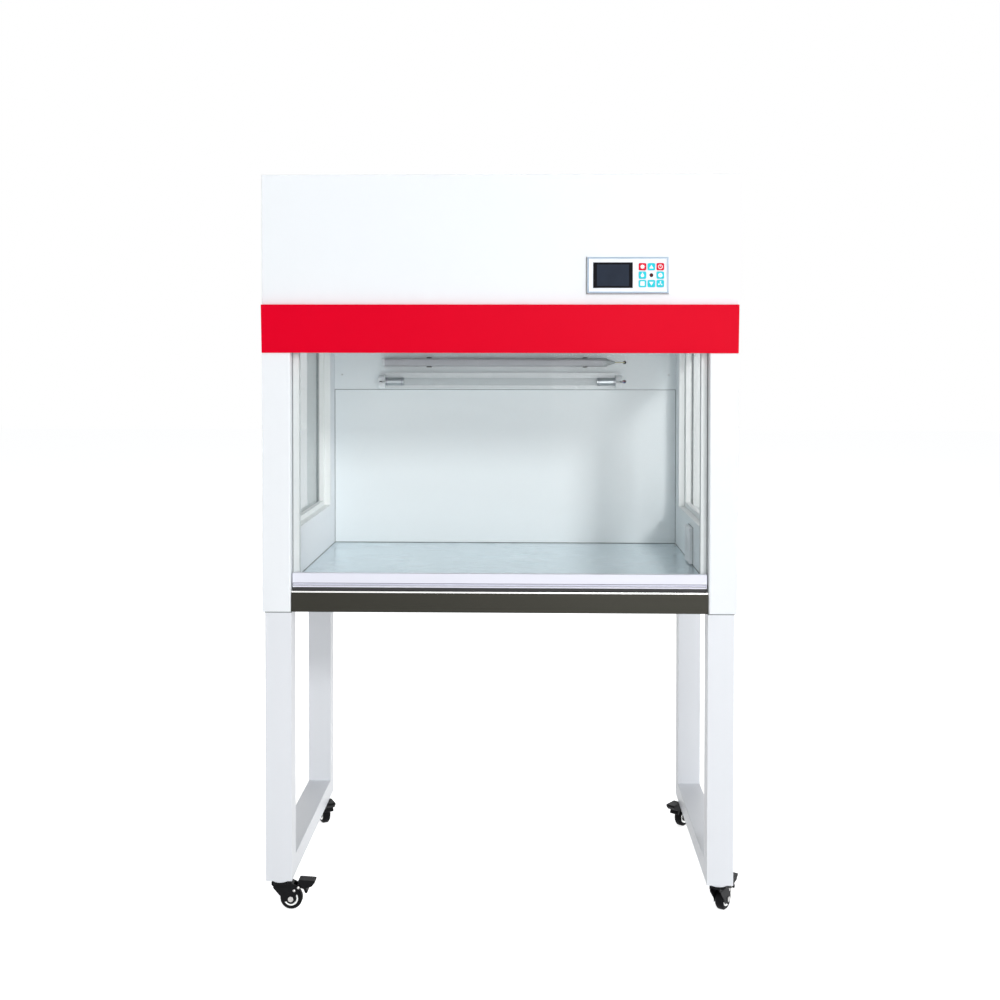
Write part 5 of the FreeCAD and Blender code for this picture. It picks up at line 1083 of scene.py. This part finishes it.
border = bmesh.new()
LINE_INSET, LINE_WIDTH, LINE_PROUD = 1.2 * MM, 3.2 * MM, 0.12 * MM
BEZEL_SHADOW = 0.9 * MM
y0, y1 = bezel_low.y - LINE_PROUD, bezel_low.y + LINE_PROUD
x0, x1 = bezel_low.x + LINE_INSET, bezel_high.x - LINE_INSET
z0, z1 = bezel_low.z + LINE_INSET, bezel_high.z - LINE_INSET
for low, high in (
    ((x0, y0, z0), (x1, y1, z0 + LINE_WIDTH)), ((x0, y0, z1 - LINE_WIDTH), (x1, y1, z1)),
    ((x0, y0, z0 + LINE_WIDTH), (x0 + LINE_WIDTH, y1, z1 - LINE_WIDTH)),
    ((x1 - LINE_WIDTH, y0, z0 + LINE_WIDTH), (x1, y1, z1 - LINE_WIDTH)),
):
    block(border, low, high)
# Dark strips along the bezel's left and bottom sides: painted shadow.
shadow_y = (bezel_low.y + 1 * MM, bezel_high.y - 0.1 * MM)
shadow_low = (bezel_low.x - BEZEL_SHADOW, shadow_y[0], bezel_low.z - BEZEL_SHADOW)
block(border, shadow_low, (bezel_low.x, shadow_y[1], bezel_high.z), 1)
block(border, (bezel_low.x, *shadow_low[1:]), (bezel_high.x, shadow_y[1], bezel_low.z), 1)
publish("bezel_border_and_shadow_lines", border, [border_ink, joint_grey], CABINET, smooth=False)


# Lamps on the back wall

batten_low, batten_high = low_high("led_batten")
fixture_low, fixture_high = low_high("uv_fixture")
tube_low, tube_high = low_high("uv_tube")
tube_middle = (tube_low + tube_high) / 2

PLUG_START, PLUG_END = batten_high.x - 56 * MM, batten_high.x - 27 * MM
BATTEN_CAP = 7 * MM


def batten_finish(centre, normal):
    """Frosted body between white caps, grey plug and pale lead."""
    if centre.x > PLUG_END:
        return 2
    if centre.x > PLUG_START:
        return 1
    if centre.x < batten_low.x + BATTEN_CAP or centre.x > PLUG_START - BATTEN_CAP:
        return 3
    return 0


batten_finishes = [frosted_cover, grey_plastic, lead_sheath, white_plastic]
dress("led_batten", "led_batten_lamp", batten_finishes, 0.2 * MM, batten_finish)

CLIP_SPOTS = (-202 * MM, 214 * MM)
CLIP_HALF, CLIP_OVER, CLIP_UNDER = 6 * MM, 1.4 * MM, 1.2 * MM
clip_levels = (
    (batten_low.z - CLIP_OVER, batten_low.z + CLIP_UNDER),
    (batten_high.z - CLIP_UNDER, batten_high.z + CLIP_OVER),
)
clips = bmesh.new()
for x in CLIP_SPOTS:
    for z0, z1 in clip_levels:
        block(
            clips, (x - CLIP_HALF, batten_low.y + 1.5 * MM, z0),
            (x + CLIP_HALF, batten_high.y - 1 * MM, z1), 0, 0.3 * MM,
        )
publish("batten_clips", clips, [recess_black], CABINET)

HOLDER_START, HOLDER_END = 4 * MM, 12 * MM


def fixture_finish(centre, normal):
    """Enamelled channel, white holders, and a red and a blue wire."""
    if centre.x > tube_high.x + HOLDER_END:
        return 2 if centre.z > tube_middle.z else 3
    if centre.x > tube_high.x - HOLDER_START or centre.x < tube_low.x + HOLDER_START:
        return 1
    return 0


fixture_finishes = [enamel, white_plastic, red_sheath, blue_sheath]
dress("uv_fixture", "uv_lamp_fixture", fixture_finishes, 0.2 * MM, fixture_finish)

CAP_REACH = 34 * MM


def tube_finish(centre, normal):
    """Glass between two metal caps with pins."""
    return 0 if tube_low.x + CAP_REACH < centre.x < tube_high.x - CAP_REACH else 1


dress("uv_tube", "uv_lamp_tube", [lamp_glass, cap_metal], 0, tube_finish)

# Thin dark rings at the cap ends that draw the caps' outlines: painted shade.
RIM_WIDTH = 1.8 * MM
rim_radius = (tube_high.z - tube_low.z) / 2 + 0.35 * MM
rim_bore = (tube_high.z - tube_low.z) / 2 - 1 * MM
rim = [(rim_bore, 0), (rim_radius, 0), (rim_radius, RIM_WIDTH), (rim_bore, RIM_WIDTH), (rim_bore, 0)]
rim_spots = (tube_low.x + 10 * MM, tube_low.x + 50 * MM, tube_high.x - 52 * MM, tube_high.x - 12 * MM)
shade_rings = bmesh.new()
for x in rim_spots:
    lathe(shade_rings, rim, facing((1, 0, 0), (x, tube_middle.y, tube_middle.z)), steps=40)
publish("tube_cap_shade_rings", shade_rings, [groove_grey], body_of_node("uv_tube"))

# Black marks on the holders where the pins go in: painted shade.
SLOT_HALF_WIDTH, SLOT_HALF_HEIGHT = 3.4 * MM, 1.5 * MM
slot_shades = bmesh.new()
for x in (fixture_low.x + 6 * MM, tube_high.x + 6 * MM):
    block(
        slot_shades, (x - SLOT_HALF_WIDTH, fixture_low.y - 0.2 * MM, tube_middle.z - SLOT_HALF_HEIGHT),
        (x + SLOT_HALF_WIDTH, fixture_low.y + 1 * MM, tube_middle.z + SLOT_HALF_HEIGHT),
    )
publish("holder_slot_shades", slot_shades, [recess_black], CABINET, smooth=False)

GROMMET = in_mm([(0, 2.4), (2.2, 2.3), (3.8, 1.6), (4.6, 0), (0, 0)])
lead_holes = (
    (batten_high.x, panel_low.y, (batten_low.z + batten_high.z) / 2),
    (fixture_high.x, panel_low.y, tube_middle.z),
)
grommets = bmesh.new()
for spot in lead_holes:
    lathe(grommets, GROMMET, facing((0, -1, 0), spot), steps=24)
publish("lead_grommets", grommets, [recess_black], CABINET)


# Stand

STRAP_THICK = 4 * MM
BOLT_RADIUS, BOLT_HEIGHT, BOLT_INSET = 6.5 * MM, 5 * MM, 90 * MM
SEAM_HALF, SEAM_SHOWS, LEG_DEPTH = 1.0 * MM, 0.25 * MM, 50 * MM

bolts = []
seams = bmesh.new()
for hand, _ in HANDS:
    dress(f"{hand}_stand_frame", f"{hand}_stand_legs", [stand_coat], 1.2 * MM)
    low, high = low_high(f"{hand}_stand_frame")
    for y in (low.y + BOLT_INSET, high.y - BOLT_INSET):
        bolts.append(((low.x + high.x) / 2, y, high.z - STRAP_THICK))
    for y0, y1 in ((low.y, low.y + LEG_DEPTH), (high.y - LEG_DEPTH, high.y)):
        block(
            seams, (low.x - SEAM_SHOWS, y0 - SEAM_SHOWS, high.z - SEAM_HALF),
            (high.x + SEAM_SHOWS, y1 + SEAM_SHOWS, high.z + SEAM_HALF),
        )
publish("stand_top_seams", seams, [joint_grey], CABINET, smooth=False)
screws("stand_bolts", bolts, (0, 0, -1), BOLT_RADIUS, BOLT_HEIGHT)


# Casters

joint_rows = {row["name"]: row for row in frame["joints"]}
FORK_HALF, CHEEK_THICK = 12.7 * MM, 0.9 * MM
WHEEL_HALF, DISH_DEPTH = 10 * MM, 3 * MM
AXLE_HEAD = 7 * MM
PEDAL_HALF = 12.8 * MM
QUARTER = math.radians(90)
# Outlines in millimetres: along the caster from its stem, and up from the floor.
RIVETS = in_mm([(31.5, 43.5), (41, 50)])
CHEEK_END = disc_outline(10.8, 24, middle=(24, 24.5))
CHEEK = in_mm([
    (-15, 53), (-15, 49), (5, 26), (6, 18), *[CHEEK_END[i % 24] for i in range(14, 29)],
    (34, 38), (38, 41), (44.5, 46), (45.5, 52), (19, 53),
])
PEDAL_BODY = in_mm([
    (40, 57.5), (46.5, 54), (47.5, 48), (52, 47), (55.5, 38.5), (58, 37), (61, 39), (61.5, 41.5),
    (58.5, 48.5), (70, 52), (77, 60), (78, 64), (76, 65.5), (44, 67.5), (40.5, 66),
])
# Outlines in millimetres: radius, and height along the axis.
RIVET_DOME = in_mm([(0, 1.6), (1.6, 1.4), (2.8, 0.8), (3.3, 0), (0, -0.3)])
HUB_RING = in_mm([(10.5, 0), (10.9, 2.2), (13, 3.1), (15.6, 2.9), (16.8, 1.6), (16.8, 0), (10.5, 0)])
HUB_CAP = in_mm([
    (6.2, 3.0), (7.9, 3.0), (8.6, 3.3), (9.6, 2.2), (10.2, 0.4), (10.2, 0), (6.2, 0), (6.2, 3.0),
])


def caster_place(corner):
    """Local axes of a caster: x from the stem to the axle, y along the axle, z up, from the floor."""
    stem = Vector(joint_rows[f"{corner}_swivel"]["pos_m"])
    axle = Vector(joint_rows[f"{corner}_wheel_roll"]["pos_m"])
    along = Vector((axle.x - stem.x, axle.y - stem.y, 0)).normalized()
    across = Vector((-along.y, along.x, 0))
    turn = Matrix((along, across, (0, 0, 1))).transposed().to_4x4()
    return Matrix.Translation((stem.x, stem.y, 0)) @ turn, axle, across


def upright(local, y):
    """A matrix that stands an outline up at a distance from the caster's middle plane."""
    return local @ Matrix.Translation((0, y, 0)) @ Matrix.Rotation(QUARTER, 4, "X")


def fork_finish(axle, across):
    """The axle's heads are bright steel on the black fork."""
    def chosen(centre, normal):
        away = centre - axle
        side = away.dot(across)
        level = (away - across * side).length
        return 1 if abs(side) > FORK_HALF + 0.2 * MM and level < AXLE_HEAD else 0
    return chosen


def fork_cheeks(corner, local, across):
    """The cheek plates of a fork and their rivets."""
    cheeks = bmesh.new()
    for x, z in RIVETS:
        for side in (-1, 1):
            spot = local @ Vector((x, side * (FORK_HALF + CHEEK_THICK), z))
            lathe(cheeks, RIVET_DOME, facing(across * side, spot), steps=20)
    for y in (FORK_HALF + CHEEK_THICK, -FORK_HALF):
        plate(cheeks, CHEEK, CHEEK_THICK, upright(local, y), 1, 0.25 * MM)
    publish(f"{corner}_fork_cheeks", cheeks, [bright_steel, black_plastic], f"{corner}_fork")


def wheel_hub(corner, axle, across):
    """The bright ring and the black cap in each side of a wheel."""
    rings = bmesh.new()
    for side in (-1, 1):
        outward = facing(across * side, axle + across * side * (WHEEL_HALF - DISH_DEPTH))
        lathe(rings, HUB_RING, outward, steps=48)
        lathe(rings, HUB_CAP, outward, 1, steps=40)
    publish(f"{corner}_wheel_hub", rings, [hub_chrome, black_plastic], f"{corner}_wheel")


def pedal_body(corner, local):
    """The moulded body of a brake pedal."""
    body = bmesh.new()
    plate(body, PEDAL_BODY, 2 * PEDAL_HALF, upright(local, PEDAL_HALF), 0, 0.8 * MM)
    publish(f"{corner}_pedal_body", body, [black_plastic], f"{corner}_brake_pedal")


for corner in CORNERS:
    local, axle, across = caster_place(corner)
    fork_finishes = [black_plastic, bright_steel]
    dress(f"{corner}_fork", f"{corner}_caster_fork", fork_finishes, 0.3 * MM, fork_finish(axle, across))
    fork_cheeks(corner, local, across)
    dress(f"{corner}_wheel", f"{corner}_caster_wheel", [tyre_rubber], 0.5 * MM)
    wheel_hub(corner, axle, across)
    dress(f"{corner}_brake_pedal", f"{corner}_caster_brake", [black_plastic], 0.4 * MM)
    pedal_body(corner, local)
